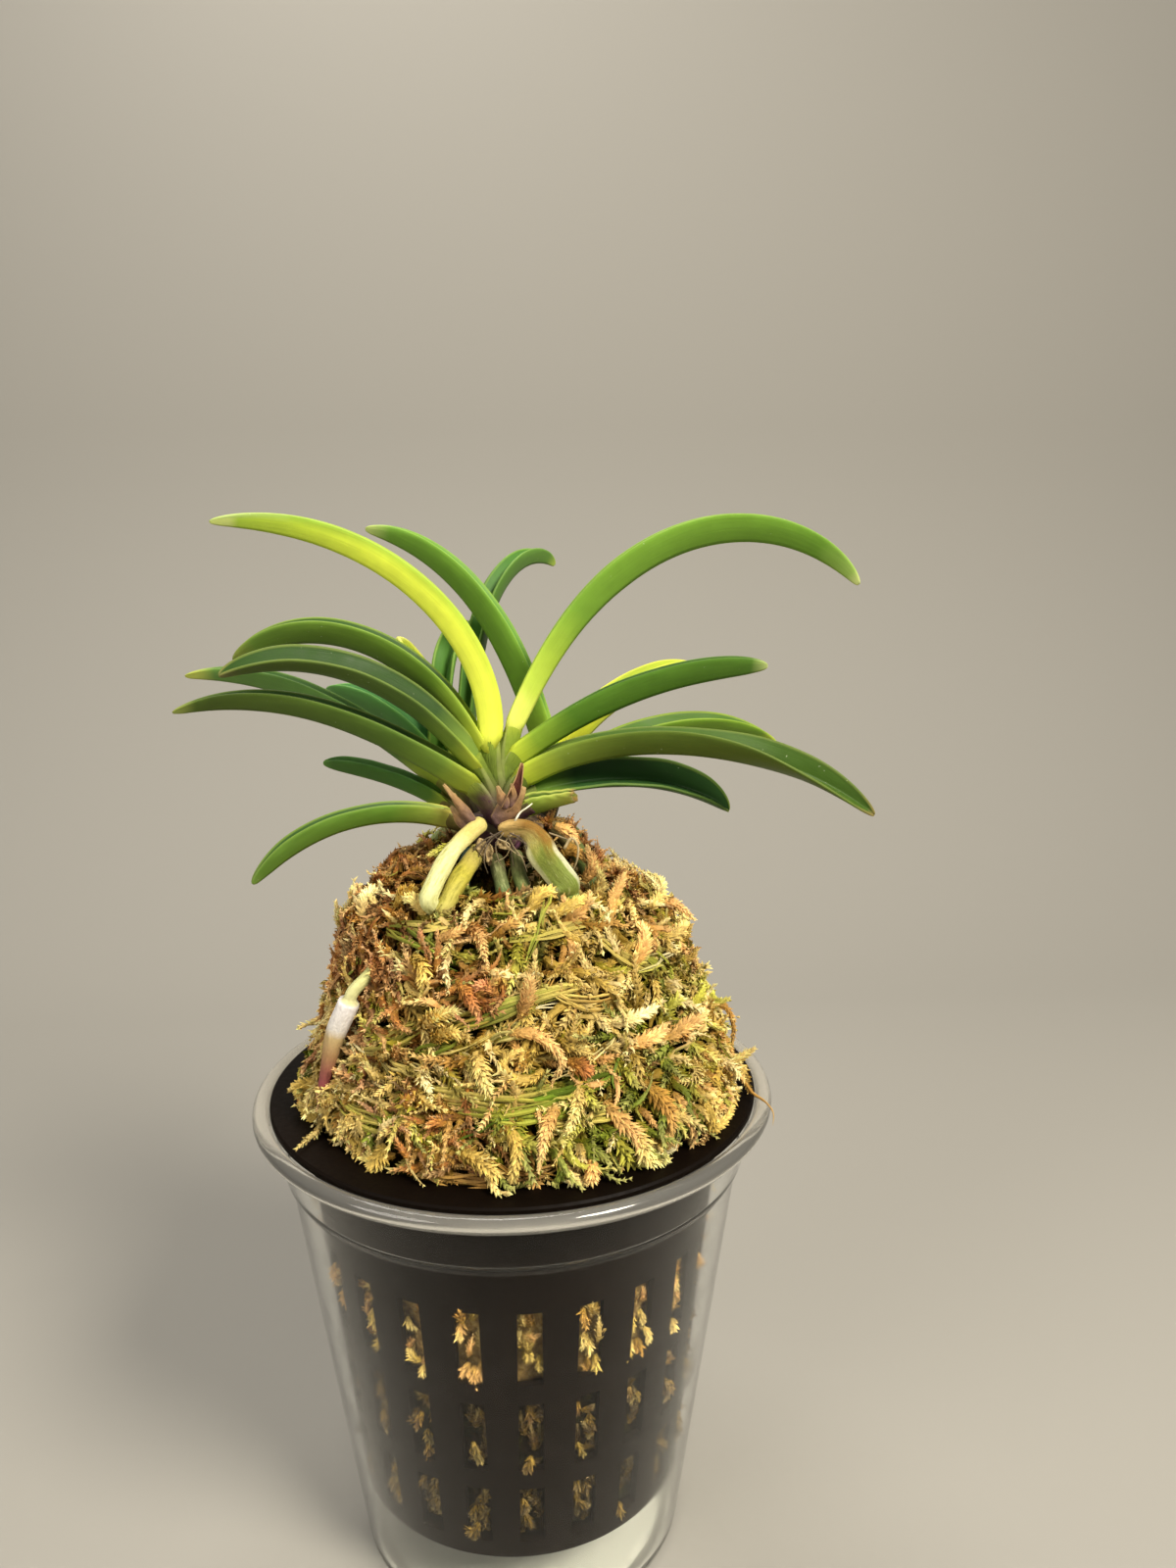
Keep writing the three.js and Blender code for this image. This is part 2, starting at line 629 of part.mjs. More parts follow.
// A shoot of moss: a three-sided horn that leaves the mound at a slant and curves back.
function sprigSolid(foot, along, out, size) {
  const across = new THREE.Vector3().crossVectors(along, out).normalize();
  const ring = (t, lift, half, thick) => {
    const centre = foot.clone().addScaledVector(along, t * size).addScaledVector(out, lift);
    return [
      centre.clone().addScaledVector(across, -half),
      centre.clone().addScaledVector(across, half),
      centre.clone().addScaledVector(out, thick),
    ];
  };
  const { width, thickness, root, lift } = SPRIG;
  return loft([
    ring(-0.1, -root, width / 2, thickness),
    ring(0.5, 0.5 * lift, 0.42 * width, thickness),
    ring(1, lift, 0.3, 0.6),
  ], [[0, 1, 2]]);
}

function mossSprigs() {
  const random = seededRandom(SPRIG.seed);
  const top = MOUND.rim[0][1] - 1.4;
  return Array.from({ length: SPRIG.count }, (_, i) => {
    const height = 1.6 + (top - 1.6) * ((i + 0.5) / SPRIG.count) ** 1.12;
    const azimuth = i * rad(137.5) + 0.2 * random();
    const foot = moundPoint(azimuth, moundRadius(height), height);
    const out = new THREE.Vector3(Math.cos(azimuth), Math.sin(azimuth), 0.35 + height / 60).normalize();
    const level = new THREE.Vector3(-Math.sin(azimuth), Math.cos(azimuth), 0);
    const upward = new THREE.Vector3().crossVectors(out, level).normalize();
    const turn = 2 * Math.PI * random();
    const climb = height < 6 ? Math.abs(Math.sin(turn)) : Math.sin(turn);
    const along = level.multiplyScalar(Math.cos(turn)).addScaledVector(upward, climb);
    along.addScaledVector(out, SPRIG.tilt).normalize();
    return sprigSolid(foot, along, out, SPRIG.length * (0.75 + 0.5 * random()));
  });
}

// Everything outside the pot's mouth and under the moss line, which the moss must leave free.
function lipKeepOut() {
  const mouth = (potRadius(POT.topZ) - POT.wall - GAP) * Math.cos(Math.PI / SEGMENTS);
  const low = POT.topZ - 8;
  return turned([[mouth, low], [70, low], [70, MOUND.baseZ], [mouth, MOUND.baseZ], [mouth, low]]);
}

function mossSolid(grownNeighbours) {
  const whole = union([mossCore(), ...mossSprigs()]).subtract(lipKeepOut());
  return clearOf(biggestPiece(whole), grownNeighbours);
}

// ---------------------------------------------------------------- assembly

const COLOURS = {
  clear: { color: 0xe6ebec, roughness: 0.08, metalness: 0, transparent: true, opacity: 0.3 },
  black: { color: 0x14121a, roughness: 0.45, metalness: 0 },
  moss: { color: 0xc2a560, roughness: 0.95, metalness: 0 },
  stem: { color: 0x9aa04a, roughness: 0.5, metalness: 0 },
  dark: { color: 0x2f5a1e, roughness: 0.38, metalness: 0 },
  mid: { color: 0x4f8424, roughness: 0.38, metalness: 0 },
  lime: { color: 0xa9c42a, roughness: 0.4, metalness: 0 },
  cream: { color: 0xe2dfae, roughness: 0.6, metalness: 0 },
  velamen: { color: 0x8f9a5c, roughness: 0.7, metalness: 0 },
  bract: { color: 0x8b5a42, roughness: 0.8, metalness: 0 },
};

const part = new THREE.Group();

function add(name, solid, colour) {
  const material = new THREE.MeshStandardMaterial(COLOURS[colour]);
  const mesh = new THREE.Mesh(geometryFrom(solid), material);
  mesh.name = name;
  part.add(mesh);
}

const LIME_LEAVES = ['main_left_1', 'left_left_1', 'right_right_1'];
const MID_LEAVES = ['main_right_1', 'right_left_1', 'right_right_2', 'left_right_2'];

function leafColour(name) {
  if (LIME_LEAVES.includes(name)) return 'lime';
  return MID_LEAVES.includes(name) ? 'mid' : 'dark';
}

function addPlant() {
  const grown = [stemSolid(GAP)];
  add('stem', stemSolid(), 'stem');
  Object.entries({ ...LEAVES, main_right_5: STUB }).forEach(([name, leaf]) => {
    add(`leaf_${name}`, clearOf(leafSolid(leaf), grown), leafColour(name));
    grown.push(leafSolid(leaf, GAP));
  });
  const rootColours = { cream: 'cream', yellow: 'cream' };
  Object.entries({ ...ROOTS, new: NEW_ROOT }).forEach(([name, root]) => {
    add(`root_${name}`, clearOf(rootSolid(root), grown), rootColours[name] ?? 'velamen');
    grown.push(rootSolid(root, GAP));
  });
  Object.entries(BRACTS).forEach(([name, bract]) => {
    const solid = clearOf(bractSolid(bract), grown);
    add(`bract_${name}`, solid, 'bract');
  });
  return grown;
}

add('cup', cupSolid(), 'clear');
add('net_pot', netPotSolid(), 'black');
const grownPlant = addPlant();
add('moss', mossSolid(grownPlant), 'moss');

export default part;
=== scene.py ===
import math
from dataclasses import dataclass
from types import SimpleNamespace

import bmesh
import bpy
import numpy as np
from mathutils import Matrix, Vector


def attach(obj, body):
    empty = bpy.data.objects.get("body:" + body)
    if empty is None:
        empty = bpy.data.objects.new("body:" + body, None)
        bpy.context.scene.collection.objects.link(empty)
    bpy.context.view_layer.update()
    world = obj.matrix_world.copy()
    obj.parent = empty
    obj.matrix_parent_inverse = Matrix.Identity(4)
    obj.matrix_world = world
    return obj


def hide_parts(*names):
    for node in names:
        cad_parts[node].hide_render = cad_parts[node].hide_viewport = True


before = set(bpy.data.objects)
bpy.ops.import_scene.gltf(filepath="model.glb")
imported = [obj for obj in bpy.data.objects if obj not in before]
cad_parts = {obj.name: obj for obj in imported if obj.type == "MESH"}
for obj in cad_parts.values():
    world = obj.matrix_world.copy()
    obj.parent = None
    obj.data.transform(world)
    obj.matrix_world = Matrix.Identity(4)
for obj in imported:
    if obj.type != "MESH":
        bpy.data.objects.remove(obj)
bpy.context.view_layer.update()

MM = 0.001
PHOTO_SIZE = (1200, 1600)  # pixels of the whole view

# ------------------------------ sizes of the frame, millimetres

CUP_HEIGHT = 91
CUP = SimpleNamespace(rim_radius=47.5, roll_radius=1.45, top_radius=44.2, ledge_radius=42.6, ledge_step=0.9,
                      ledge_z=79.5, base_radius=31, wall=0.55, floor=0.8, corner=1.4)
POT = SimpleNamespace(
    lip_radius=44.4, lip_thickness=1.4, top_radius=38.8, bottom_radius=31,
    top_z=CUP_HEIGHT + 0.2, bottom_z=15, wall=1.3, floor=1.5,
    slots=22, slot_width=4.2, slot_rows=[(19.3, 31), (35, 49), (53, 67.5)],
    first_slot=-87.5, drain_width=2.6, drain_radii=(14.5, 25.5),
)
MOSS_BASE = POT.top_z + 0.3
# Radius and height of the mound's outside, over its rim and down into its hollow.
MOUND = [(37.6, 0.6), (37.8, 4), (35, 9.5), (31.6, 17), (29.4, 26), (26.4, 34),
         (18.5, 40.4), (15.4, 40.2), (11.8, 34), (9, 20)]
MOUND_RIM = 6  # which of them is the top of the rim
FRONT_DIP = 1.6  # the mound's top is this much lower at the front and higher at the back
RIGHT_DIP = 3.2  # and this much lower on the right
LUMP = 0.9  # height of its broad lumps
RIGHT_BULGE = 2.4  # how far its foot swells on the right
LEFT_TUCK = 3.2  # and draws in on the left


@dataclass
class Leaf:
    """A leaf's form. Lengths are in millimetres, angles in degrees and shares are of the length."""

    base: tuple  # where it leaves its sheath
    azimuth: float  # the way it grows, seen from above
    rise: float  # slope at the foot
    fall: float  # slope at the tip
    bend: float  # 1 bends evenly, and more than 1 bends late
    length: float
    depth: float  # depth of the fold
    spread: float  # half of the fold's angle
    lean: float  # how far the fold leans over
    foot: float  # share of the depth that the fold has at its foot
    taper: float  # share of the depth that it loses on the way to the tip
    tip: float  # share where the tip begins to close
    turn: float = 0  # lean that the outer part adds


LEAVES = {
    "main_left_1": Leaf((-2.9, -3, 156.7), 184, 98, -3, 0.73, 64.7, 4.5, 28, 0, 0.86, 0.22, 0.5),
    "main_left_2": Leaf((-5.2, -1.6, 154.15), 182, 62, -38, 1.45, 50.7, 4.3, 34, 3, 0.85, 0.15, 0.6),
    "main_left_3": Leaf((-5.7, -4.5, 152), 194, 52, -21, 1.45, 48.1, 4.25, 36, 28, 0.8, 0.2, 0.6),
    "main_left_4": Leaf((-7, -4, 148.7), 185, 34, -17, 1.8, 52.1, 4.4, 34, 3, 0.9, 0.42, 0.6),
    "main_left_5": Leaf((-11, -4, 142.3), 196, 18, -49, 1.1, 36.6, 3.3, 24, 5, 0.95, 0.1, 0.6),
    "main_right_1": Leaf((1.2, -3, 158.5), -2, 65, -51, 1.6, 77.6, 4.6, 28, 0, 0.62, 0.1, 0.62),
    "main_right_2": Leaf((2, -3, 153.4), -8, 36, 1, 1.2, 46, 4.2, 30, -2, 0.85, 0.15, 0.7),
    "main_right_3": Leaf((3.1, -4, 149.8), -6, 31, -38, 0.82, 64.6, 4.4, 34, 0, 0.9, 0.1, 0.6, 58),
    "main_right_4": Leaf((4.2, -2.5, 146.2), 8, 12, -39, 1.5, 38.4, 4.5, 36, 45, 0.7, 0.05, 0.6),
    "right_left_1": Leaf((8.2, 9, 149.15), 172, 73, 8, 2.1, 57.4, 4.6, 28, 0, 0.9, 0.15, 0.6),
    "right_right_1": Leaf((9.4, 10, 149.7), 24, 54, -1, 1, 36, 4.4, 32, 0, 0.9, 0.1, 0.6),
    "right_right_2": Leaf((10.6, 9, 146.6), 14, 36, -27, 1, 46, 4.3, 34, 8, 0.85, 0.1, 0.6),
    "left_right_1": Leaf((-7.7, 12, 152.1), 48, 80, -36, 2.7, 50, 3.6, 30, 0, 0.9, 0.1, 0.6),
    "left_right_2": Leaf((-11.8, 12.5, 149.5), 66, 92, -28, 2.1, 34, 4.2, 30, 0, 0.95, 0.1, 0.6),
    "left_left_1": Leaf((-10.5, 14.2, 150.4), 142, 62, 58, 1, 24.6, 4.2, 30, 0, 0.9, 0.1, 0.6),
    "left_left_2": Leaf((-12.2, 10.8, 148.15), 158, 64, 7, 0.75, 28.4, 4.2, 34, 0, 0.9, 0.1, 0.6),
    "left_left_3": Leaf((-13.2, 8, 147.3), 176, 40, -7, 1.75, 50, 3.8, 34, 0, 0.9, 0.3, 0.6),
    "left_left_4": Leaf((-12.4, 6, 143.2), 184, 36, 9, 0.8, 22.2, 2.9, 34, 8, 0.95, 0.1, 0.6),
    "main_right_5": Leaf((3.4, -6, 144.5), -14, 18, 10, 1, 8.2, 4.2, 14, 30, 1, 0.45, 0.9),
}
KEEL, MARGIN = 1.5, 0.55  # a leaf's thickness at the fold, and the width of its margin
FOOT_END = 0.4  # share of the length where the fold has its full depth
GROWTHS = {  # foot of each stem, and its width
    "main": ((-0.6, -2.2, 138.5), 5.4),
    "right": ((6, 7, 138.5), 4.6),
    "left": ((-7.5, 8.5, 138.5), 4.6),
}
SHEATH_REACH, SHEATH_STRAIGHT = 13, 5.5  # how far a sheath goes down, and its straight part under the blade
CROWN, CROWN_RADII = np.array([-0.6, 4, 138.2]), (8.6, 7.6, 3.2)

# Roots: path in millimetres, radius, and thickness as a share of the width.
ROOTS = {
    "cream": ([(-4.5, -6.8, 142), (-6.9, -10, 140.7), (-9.5, -13.4, 138.7), (-11.8, -16.6, 135.7),
               (-13.5, -18.8, 132.6), (-14.8, -20, 129.6), (-15.2, -20.2, 126)], 1.5, 1),
    "yellow": ([(-5.2, -6, 137), (-6.9, -10.6, 135.8), (-8.8, -15, 133.8), (-10.4, -17.4, 131.3),
                (-11.6, -18.6, 129), (-11.9, -18.8, 124)], 1.6, 1),
    "shade": ([(-6.6, -1, 135.6), (-8, -4.4, 132.6), (-8.8, -8.6, 129), (-9.2, -13, 123),
               (-9.4, -15.6, 117)], 1.45, 1),
    "green": ([(-2.6, -4.6, 135.4), (-2, -8.4, 133), (-1, -13.6, 129.4), (-0.4, -17, 124),
               (-0.2, -18.4, 118)], 1.3, 1),
    "dark": ([(1, -3.6, 135.6), (1.4, -8, 133), (2.8, -12.8, 129.6), (4, -16, 124),
              (4.4, -17.6, 118)], 1.25, 1),
    "strap": ([(-1.8, -7.4, 140.5), (0.6, -8.6, 141.2), (2.9, -9.8, 141), (4.5, -11.2, 139.6),
               (5.8, -13.4, 137.4), (7.4, -15.6, 135.5), (9.3, -17.6, 133.3), (11, -19.2, 130.2),
               (11.6, -19.8, 126)], 2.45, 0.55),
    "side": ([(7.2, 0.4, 139.4), (9.6, -1, 137.6), (12.4, -4.4, 134.6), (14.6, -8, 131),
              (16.2, -10.6, 124)], 1.6, 0.8),
    "back_right": ([(6, 11, 137), (10, 15, 135.4), (13.4, 19, 131), (15.4, 21.4, 123)], 1.6, 1),
    "back_left": ([(-8, 11, 137), (-11.4, 14.6, 135.2), (-14.4, 18.6, 131), (-16.2, 21, 123)], 1.6, 1),
    "new": ([(-21.2, -16.6, 122), (-24.4, -19.4, 120.9), (-25.9, -20.4, 118.3), (-27.4, -20.2, 114.4),
             (-29.4, -19.2, 109.8), (-30.7, -19.2, 105.3), (-31.9, -19.2, 100.6), (-32.3, -19.2, 99.2)],
            1.75, 1),
}
ROOT_FLAT_FACES = (0, 1, 0.35)  # the way that a flat root's broad side faces

# ------------------------------ camera, floor and light

# Place in metres, angles in degrees from a level view along +Y, lens and sensor in millimetres.
CAMERA = SimpleNamespace(place=(0, -0.2043, 0.1907), pitch=12.11, yaw=3.95, roll=-0.4, lens=27, sensor=36)
LIT_POINT = (0, 0, 0.12)
LIGHTS = {  # place in metres, size, power and colour of each disc, aimed at the lit point
    "key": ((0.36, -0.42, 0.62), 0.26, 9.8, (1.0, 0.93, 0.80)),
    "fill": ((-0.55, -0.45, 0.42), 0.45, 3.2, (1.0, 0.95, 0.86)),
    "top": ((-0.10, 0.25, 0.75), 0.45, 3.7, (1.0, 0.96, 0.90)),
}
FLOOR_REACH, FLOOR_BEND = 1.6, 0.25  # metres: the floor and the wall behind it, and the curve between them


def camera_axes():
    """The camera's right, up and view directions."""
    pitch, yaw, roll = map(math.radians, (CAMERA.pitch, CAMERA.yaw, CAMERA.roll))
    ahead = Vector((math.sin(yaw) * math.cos(pitch), math.cos(yaw) * math.cos(pitch), -math.sin(pitch)))
    level = ahead.cross(Vector((0, 0, 1))).normalized()
    upright = level.cross(ahead)
    right = math.cos(roll) * level + math.sin(roll) * upright
    up = -math.sin(roll) * level + math.cos(roll) * upright
    return right, up, ahead


def add_object(name, data):
    made = bpy.data.objects.new(name, data)
    bpy.context.scene.collection.objects.link(made)
    return made


def add_camera():
    data = bpy.data.cameras.new("camera")
    data.lens, data.sensor_width = CAMERA.lens, CAMERA.sensor
    data.clip_start, data.clip_end = 0.01, 20
    right, up, ahead = camera_axes()
    turn = Matrix((right, up, -ahead)).transposed().to_4x4()
    camera = add_object("camera", data)
    camera.matrix_world = Matrix.Translation(CAMERA.place) @ turn
    bpy.context.scene.camera = camera


def add_studio():
    world = bpy.data.worlds.new("studio")
    world.use_nodes = True
    background = world.node_tree.nodes["Background"]
    background.inputs["Color"].default_value = (0.92, 0.92, 0.90, 1)
    background.inputs["Strength"].default_value = 0.28
    bpy.context.scene.world = world
    for name, (place, size, power, colour) in LIGHTS.items():
        data = bpy.data.lights.new(name, "AREA")
        data.shape, data.size, data.energy, data.color = "DISK", size, power, colour
        light = add_object(name, data)
        light.location = place
        light.rotation_euler = (Vector(LIT_POINT) - Vector(place)).to_track_quat("-Z", "Y").to_euler()
        light.visible_camera = False
    bpy.context.scene.view_settings.view_transform = "Standard"


def view_ray(x, y):
    """Start and direction, in millimetres, of the camera's ray through a point of the 1200 x 1600 view."""
    right, up, ahead = (np.array(axis) for axis in camera_axes())
    focal = CAMERA.lens / CAMERA.sensor * PHOTO_SIZE[1]
    across, above = x - PHOTO_SIZE[0] / 2, PHOTO_SIZE[1] / 2 - y
    direction = unit(ahead * focal + right * across + up * above)
    return np.array(CAMERA.place) / MM, direction


def at_depth(x, y, depth):
    """Where the ray through a point of the view meets the plane of one y, in millimetres."""
    start, direction = view_ray(x, y)
    return start + direction * (depth - start[1]) / direction[1]


# ------------------------------ node materials


def rgb(code):
    """Linear colour of a web colour such as 8fae3c."""
    parts = [int(code[i:i + 2], 16) / 255 for i in (0, 2, 4)]
    return [p / 12.92 if p <= 0.04045 else ((p + 0.055) / 1.055) ** 2.4 for p in parts]


def rgba(code):
    return (*rgb(code), 1)


class Look:
    """A material's node tree, with short calls for the nodes that repeat. A colour may be a web colour."""

    def __init__(self, name):
        self.material = bpy.data.materials.new(name)
        self.material.use_nodes = True
        self.tree = self.material.node_tree
        self.shader = self.tree.nodes["Principled BSDF"]

    def join(self, socket, value):
        if isinstance(value, bpy.types.NodeSocket):
            self.tree.links.new(value, socket)
        else:
            socket.default_value = rgba(value) if isinstance(value, str) else value

    def node(self, kind, inputs=(), **settings):
        made = self.tree.nodes.new(kind)
        for key, value in settings.items():
            setattr(made, key, value)
        for key, value in dict(inputs).items():
            self.join(made.inputs[key], value)
        return made

    def set(self, **values):
        for key, value in values.items():
            self.join(self.shader.inputs[key.replace("_", " ")], value)
        return self

    def read(self, name, output="Fac"):
        return self.node("ShaderNodeAttribute", attribute_name=name).outputs[output]

    def place(self):
        return self.node("ShaderNodeTexCoord").outputs["Object"]

    def axis(self, name):
        """One coordinate of the place, in metres."""
        return self.node("ShaderNodeSeparateXYZ", {"Vector": self.place()}).outputs[name]

    def maths(self, operation, a, b=0.0):
        return self.node("ShaderNodeMath", {0: a, 1: b}, operation=operation).outputs[0]

    def times(self, a, b):
        return self.maths("MULTIPLY", a, b)

    def plus(self, a, b):
        return self.maths("ADD", a, b)

    def noise(self, scale, detail=3, rough=0.55, vector=None):
        inputs = {"Vector": vector or self.place(), "Scale": scale, "Detail": detail, "Roughness": rough}
        return self.node("ShaderNodeTexNoise", inputs).outputs["Fac"]

    def lines(self, across, count, along, stretch):
        """Place for a noise that runs in lines along a piece."""
        inputs = {"X": self.times(across, count), "Y": self.times(along, stretch)}
        return self.node("ShaderNodeCombineXYZ", inputs).outputs[0]

    def span(self, value, low, high, to_low=0.0, to_high=1.0):
        inputs = {"Value": value, "From Min": low, "From Max": high, "To Min": to_low, "To Max": to_high}
        return self.node("ShaderNodeMapRange", inputs).outputs["Result"]

    def vary(self, noise, to_low, to_high):
        """A noise, most of which lies from 0.3 to 0.7, between two values."""
        return self.span(noise, 0.3, 0.7, to_low, to_high)

    def ramp(self, value, *stops):
        """Web colours by a value. stops are pairs of a position and a colour."""
        made = self.node("ShaderNodeValToRGB", {"Fac": value})
        elements = made.color_ramp.elements
        while len(elements) < len(stops):
            elements.new(0.5)
        for element, (position, colour) in zip(elements, stops):
            element.position, element.color = position, rgba(colour)
        return made.outputs["Color"]

    def mix(self, share, a, b, blend="MIX"):
        made = self.node("ShaderNodeMix", {0: share, 6: a, 7: b}, data_type="RGBA", blend_type=blend)
        return made.outputs[2]

    def shade(self, colour, value):
        """Colour times a grey value."""
        grey = self.node("ShaderNodeCombineColor", {"Red": value, "Green": value, "Blue": value})
        return self.mix(1.0, colour, grey.outputs[0], "MULTIPLY")

    def bump(self, height, strength, distance):
        inputs = {"Height": height, "Strength": strength, "Distance": distance}
        return self.set(Normal=self.node("ShaderNodeBump", inputs).outputs["Normal"])


# ------------------------------ meshes

root_body = "root"


def piece(name, form, material, replaces=(), smooth=True):
    """A mesh piece. Its form is points in millimetres, faces, and numbers or colours of the points by name."""
    points, faces, values = form
    mesh = bpy.data.meshes.new(name)
    mesh.from_pydata(np.asarray(points, float) * MM, [], faces)
    for key, value in values.items():
        value = np.asarray(value, np.float32)
        if value.ndim == 1:
            mesh.attributes.new(key, "FLOAT", "POINT").data.foreach_set("value", value)
        else:
            full = np.ones((len(value), 4), np.float32)
            full[:, :3] = value
            mesh.attributes.new(key, "FLOAT_COLOR", "POINT").data.foreach_set("color", full.ravel())
    mesh.update()
    if smooth:
        mesh.shade_smooth()
    mesh.materials.append(material)
    made = add_object(name, mesh)
    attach(made, root_body)
    if replaces:
        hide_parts(*replaces)
    return made


def join(forms):
    """One form from several."""
    points, faces, values, first = [], [], {}, 0
    for p, f, v in forms:
        points.append(p)
        faces += [tuple(i + first for i in face) for face in f]
        for key, value in v.items():
            values.setdefault(key, []).append(value)
        first += len(p)
    return np.vstack(points), faces, {k: np.concatenate(v) for k, v in values.items()}


def skin_faces(rings, count, caps=True, holes=()):
    """Quads over closed rings of points, but for the (ring, column) cells in holes, and a face on each end."""
    faces = []
    for r in range(rings - 1):
        for c in range(count):
            if (r, c) not in holes:
                n = (c + 1) % count
                faces.append((r * count + c, r * count + n, (r + 1) * count + n, (r + 1) * count + c))
    if caps:
        faces.append(tuple(reversed(range(count))))
        faces.append(tuple(range((rings - 1) * count, rings * count)))
    return faces


def skin(points, along, **around):
    """A form of closed rings of points. along has a value for each ring, around values for each column."""
    rings, count = len(along), len(next(iter(around.values())))
    values = {"along": np.repeat(along, count)}
    values.update((key, np.tile(value, rings)) for key, value in around.items())
    return np.reshape(points, (-1, 3)), skin_faces(rings, count), values


def circle(angle, radius=1.0, z=0.0):
    """Points at these angles round the upright axis."""
    return np.stack([radius * np.cos(angle), radius * np.sin(angle), z + 0 * angle], -1)


def turns(count, start=0.0):
    """Angles spread evenly over one full turn."""
    return np.linspace(start, start + 2 * math.pi, count, endpoint=False)


def unit(v):
    """Vectors of length 1."""
    return v / np.maximum(np.linalg.norm(v, axis=-1, keepdims=True), 1e-9)


def bezier(a, b, c, count):
    """Points of the curve from a to c that b pulls."""
    t = np.linspace(0, 1, count)[:, None]
    a, b, c = (np.asarray(p, float) for p in (a, b, c))
    return (1 - t) ** 2 * a + 2 * t * (1 - t) * b + t ** 2 * c


def smooth_path(points, count, between=24):
    """Catmull-Rom curve through the points, evenly spaced. It is measured in steps between two points."""
    p = np.asarray(points, float)
    p = np.vstack([2 * p[0] - p[1], p, 2 * p[-1] - p[-2]])
    parts = []
    for i in range(1, len(p) - 2):
        t = np.linspace(0, 1, between, endpoint=False)[:, None]
        a, b, c, d = p[i - 1], p[i], p[i + 1], p[i + 2]
        parts.append(0.5 * (2 * b + (c - a) * t + (2 * a - 5 * b + 4 * c - d) * t ** 2
                            + (3 * b - a - 3 * c + d) * t ** 3))
    dense = np.vstack([*parts, p[-2]])
    length = np.r_[0, np.cumsum(np.linalg.norm(np.diff(dense, axis=0), axis=1))]
    at = np.linspace(0, length[-1], count)
    return np.stack([np.interp(at, length, dense[:, k]) for k in range(3)], 1)


# ------------------------------ leaves


def heading(shape, share):
    """Direction of a leaf's middle line at shares of its length."""
    slope = np.radians(shape.rise + (shape.fall - shape.rise) * share ** shape.bend)
    azimuth = math.radians(shape.azimuth)
    flat = np.cos(slope)
    return np.stack([flat * math.cos(azimuth), flat * math.sin(azimuth), np.sin(slope)], -1)


def middle_line(shape, shares):
    """Points and headings on a leaf's middle line."""
    steps = 400
    middles = (np.arange(steps) + 0.5) / steps
    walked = np.vstack([np.zeros(3), np.cumsum(heading(shape, middles), 0) * shape.length / steps])
    grid = np.linspace(0, 1, steps + 1)
    point = np.stack([np.interp(shares, grid, walked[:, k]) for k in range(3)], 1)
    return np.array(shape.base, float) + point, heading(shape, shares)


def leaf_axes(shape, along, share, twist=0.0):
    """Axes across the fold and out of its channel, for each heading."""
    late = np.clip((share - FOOT_END) / (1 - FOOT_END), 0, 1)
    turn = math.radians(shape.turn) * late ** 2 * (3 - 2 * late)
    azimuth = math.radians(shape.azimuth)
    side = np.array([math.sin(azimuth), -math.cos(azimuth), 0.0])
    opening = np.cross(side, along)
    lean = (math.radians(shape.lean) + turn) * (1 if side[1] < 0 else -1) + twist
    lean = np.broadcast_to(lean, len(along))[:, None]
    return (side * np.cos(lean) - opening * np.sin(lean),
            opening * np.cos(lean) + side * np.sin(lean))


def leaf_depth(shape, share, torn=False):
    """Depth of the fold at a share of the length."""
    foot = shape.foot + (1 - shape.foot) * np.minimum(share / FOOT_END, 1)
    past = np.clip((share - shape.tip) / (1 - shape.tip), 0, 1)
    tip = 1.0 if torn else np.sqrt(np.maximum(1 - past ** 2.2, 0))
    return shape.depth * foot * (1 - shape.taper * share) * tip


OUTER, RIM, INNER = 9, 3, 7  # points on the outside, round the margin and down the inside of a half


def blade_half(depth, spread, keel):
    """Half of the fold's section from under the keel to the channel's bottom, as (across, up)."""
    reach = depth * math.tan(spread)
    margin = min(MARGIN, 0.7 * reach)
    outside = bezier((0, -0.3 * keel), (0.5 * reach + 0.2 * depth, 0.4 * depth + 0.15 * keel),
                     (reach, depth - 0.4 * margin), OUTER)
    turn = np.linspace(0, math.pi, RIM + 2)[1:-1]
    centre = np.array([reach - margin / 2, depth - 0.4 * margin])
    rim = centre + np.stack([np.cos(turn), 0.8 * np.sin(turn)], 1) * margin / 2
    inside = bezier((reach - margin, depth - 0.4 * margin),
                    (0.42 * (reach - margin), 0.55 * depth + 0.2 * keel), (0, 0.9 * keel), INNER)
    return np.vstack([outside, rim, inside])


def both_halves(half, flip=1):
    """A whole section from one half, whose other half is multiplied by flip."""
    return np.concatenate([half, half[1:-1][::-1] * flip])


def section_marks():
    """For each point of a section: share from keel to margin, and 1 on the inside."""
    across = np.r_[np.linspace(0, 1, OUTER), np.ones(RIM), np.linspace(1, 0, INNER)]
    inside = np.r_[np.zeros(OUTER), np.full(RIM, 0.5), np.ones(INNER)]
    return both_halves(across), both_halves(inside)


LEAF_RINGS = 54
LEAF_CLOSING = 1.35  # over 1, the rings of points lie closer together at the tip
LAST_RING = 0.998  # share of the length where a whole leaf's last ring lies
TONGUE, TONGUE_FADE = 3.3, 4  # how far the foot's flanks reach back, and over what length that ends
TWIST = math.radians(2.2)
MARGIN_WAVE = 0.07


